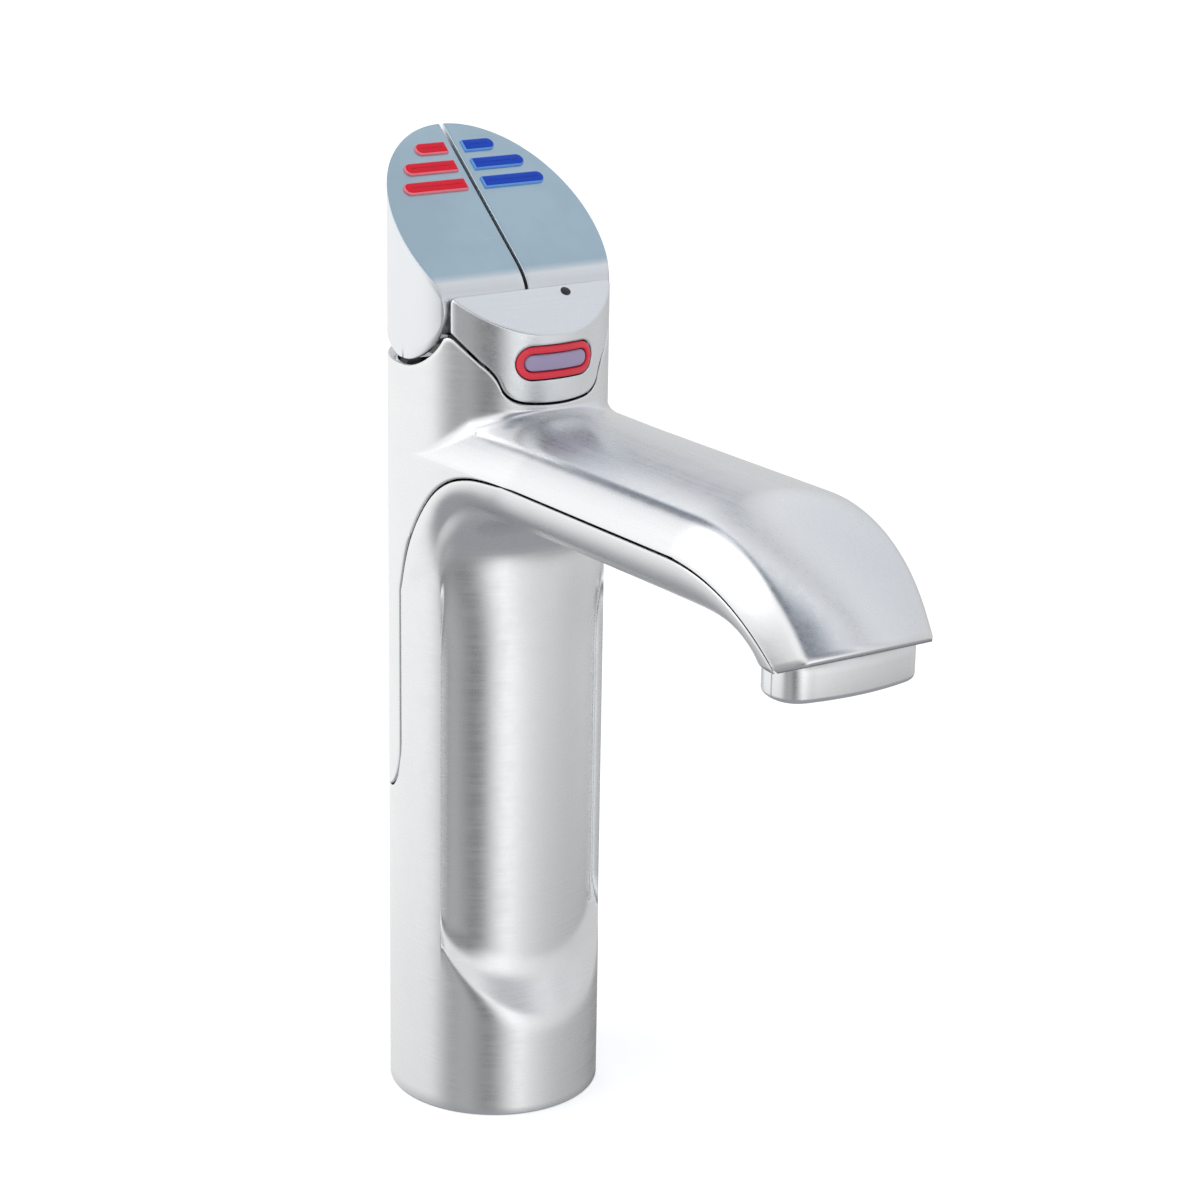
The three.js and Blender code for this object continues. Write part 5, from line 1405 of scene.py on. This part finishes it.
def studio_world(scene, azimuth):
    """World light that changes with the angle round the tap, and differently low, level and overhead."""
    world = bpy.data.worlds.new("studio")
    scene.world = world
    world.use_nodes = True
    sky = Nodes(world.node_tree)
    direction = sky.node("ShaderNodeTexCoord").outputs["Generated"]
    turned = sky.node(
        "ShaderNodeVectorRotate", {"Vector": direction, "Angle": -azimuth}, rotation_type="Z_AXIS").outputs[0]
    axes = sky.node("ShaderNodeSeparateXYZ", {0: turned}).outputs
    angle = sky.math("ARCTAN2", axes["X"], sky.math("MULTIPLY", axes["Y"], -1.0))
    share = sky.ramp(angle, -math.pi, math.pi, 0.0, 1.0)

    def scaled(table):
        """A table's angles and levels as shares of a ramp's."""
        return [((degrees + 180) / 360, level / BRIGHTEST) for degrees, level in table]

    low = sky.stops(share, scaled(STUDIO_LOW))
    high = sky.stops(share, scaled(STUDIO_HIGH))
    along = sky.node("ShaderNodeVectorMath", {0: turned, 1: OVERHEAD_AXIS}, operation="DOT_PRODUCT")
    reach = sky.ramp(along.outputs["Value"], -1.0, 1.0, 0.0, 1.0)
    over = sky.stops(reach, [((x + 1) / 2, tuple(c / BRIGHTEST for c in level)) for x, level in OVERHEAD])
    level = sky.mix(sky.ramp(axes["Z"], -0.43, -0.36, 0.0, 1.0), low, high)
    below = tuple(c / BRIGHTEST for c in STUDIO_BELOW) + (1.0,)
    level = sky.mix(sky.ramp(axes["Z"], -0.64, -0.46, 1.0, 0.0), level, below)
    level = sky.mix(sky.ramp(axes["Z"], 0.05, 0.40, 0.0, 1.0), level, over)
    background = sky.node("ShaderNodeBackground", {"Color": level, "Strength": BRIGHTEST})
    sky.node("ShaderNodeOutputWorld", {"Surface": background.outputs[0]})


def heading(azimuth, elevation):
    """Direction away from the tap, by its angle from the front and its angle above the worktop."""
    level = math.cos(elevation)
    return Vector((math.sin(azimuth) * level, -math.cos(azimuth) * level, math.sin(elevation)))


def area_light(name, azimuth, elevation, distance, size, power, target=(0.0, -0.05, 0.14)):
    """A square light at an angle round the tap, facing it."""
    light = bpy.data.lights.new(name, "AREA")
    light.size = size
    light.energy = power
    lamp = bpy.data.objects.new(name, light)
    bpy.context.scene.collection.objects.link(lamp)
    away = heading(azimuth, elevation)
    lamp.location = Vector(target) + away * distance
    lamp.rotation_euler = away.to_track_quat("Z", "Y").to_euler()


class TAP_OT_stage(bpy.types.Operator):
    """Sets up the floor, the studio light and the camera"""

    bl_idname = "tap.stage"
    bl_label = "Stage"

    def execute(self, context):
        scene, stage = context.scene, context.scene.tap_stage
        mesh = bpy.data.meshes.new("floor")
        corners = [(x * FLOOR_REACH, y * FLOOR_REACH, 0) for x, y in ((-1, -1), (1, -1), (1, 1), (-1, 1))]
        mesh.from_pydata(corners, [], [(0, 1, 2, 3)])
        floor = bpy.data.objects.new("floor", mesh)
        scene.collection.objects.link(floor)
        pale = Recipe("floor_pale")
        speck = pale.noise(pale.node("ShaderNodeTexCoord").outputs["Object"], 9.0)
        pale.set(Base_Color=pale.mix(speck, (0.90, 0.90, 0.90, 1), (0.92, 0.92, 0.92, 1)), Roughness=0.9)
        pale.set(Specular_IOR_Level=0.0, Emission_Color=(1, 1, 1, 1), Emission_Strength=FLOOR_GLOW)
        mesh.materials.append(pale.material)
        floor.visible_glossy = False

        studio_world(scene, stage.azimuth)
        area_light("key", stage.azimuth - math.radians(80), math.radians(50), 2.4, 2.2, 12)
        scene.view_settings.view_transform = "Standard"

        back = heading(stage.azimuth, stage.elevation)
        level = Vector((math.cos(stage.azimuth), math.sin(stage.azimuth), 0))
        upright = back.cross(level)
        right = level * math.cos(CAMERA_ROLL) + upright * math.sin(CAMERA_ROLL)
        up = upright * math.cos(CAMERA_ROLL) - level * math.sin(CAMERA_ROLL)
        data = bpy.data.cameras.new("camera")
        data.sensor_width = SENSOR
        data.lens = LENS
        data.shift_x = LENS_SHIFT
        data.clip_start = 0.01
        data.clip_end = 100.0
        camera = bpy.data.objects.new("camera", data)
        scene.collection.objects.link(camera)
        matrix = Matrix((right, up, back)).transposed().to_4x4()
        matrix.translation = Vector((0, 0, stage.target_height)) + back * stage.distance
        camera.matrix_world = matrix
        scene.camera = camera
        return {"FINISHED"}


OPERATORS = (
    TAP_OT_lower_casting, TAP_OT_upper_casting, TAP_OT_levers, TAP_OT_bars, TAP_OT_fascia, TAP_OT_button,
    TAP_OT_outlet, TAP_OT_carried, TAP_OT_stage,
)


class TAP_PT_panel(bpy.types.Panel):
    """Lists the tap's pieces"""

    bl_idname = "TAP_PT_panel"
    bl_label = "Boiling water tap"
    bl_space_type = "VIEW_3D"
    bl_region_type = "UI"
    bl_category = "Tap"

    def draw(self, context):
        for group_name, _ in GROUPS:
            group = getattr(context.scene, group_name)
            box = self.layout.box()
            for name in group.bl_rna.properties.keys():
                if name not in ("rna_type", "name"):
                    box.prop(group, name)
        for operator in OPERATORS:
            self.layout.operator(operator.bl_idname)


GROUPS = (
    ("tap_body", TapBodySettings), ("tap_head", TapHeadSettings), ("tap_finish", TapFinishSettings),
    ("tap_stage", TapStageSettings),
)


def register():
    for name, group in GROUPS:
        bpy.utils.register_class(group)
        setattr(bpy.types.Scene, name, bpy.props.PointerProperty(type=group))
    for operator in OPERATORS:
        bpy.utils.register_class(operator)
    bpy.utils.register_class(TAP_PT_panel)


def unregister():
    bpy.utils.unregister_class(TAP_PT_panel)
    for operator in reversed(OPERATORS):
        bpy.utils.unregister_class(operator)
    for name, group in reversed(GROUPS):
        delattr(bpy.types.Scene, name)
        bpy.utils.unregister_class(group)


def main():
    register()
    bpy.ops.tap.lower_casting()
    bpy.ops.tap.upper_casting()
    bpy.ops.tap.levers()
    bpy.ops.tap.bars()
    bpy.ops.tap.fascia()
    bpy.ops.tap.button()
    bpy.ops.tap.outlet()
    bpy.ops.tap.carried()
    bpy.ops.tap.stage()


if __name__ == "__main__":
    main()
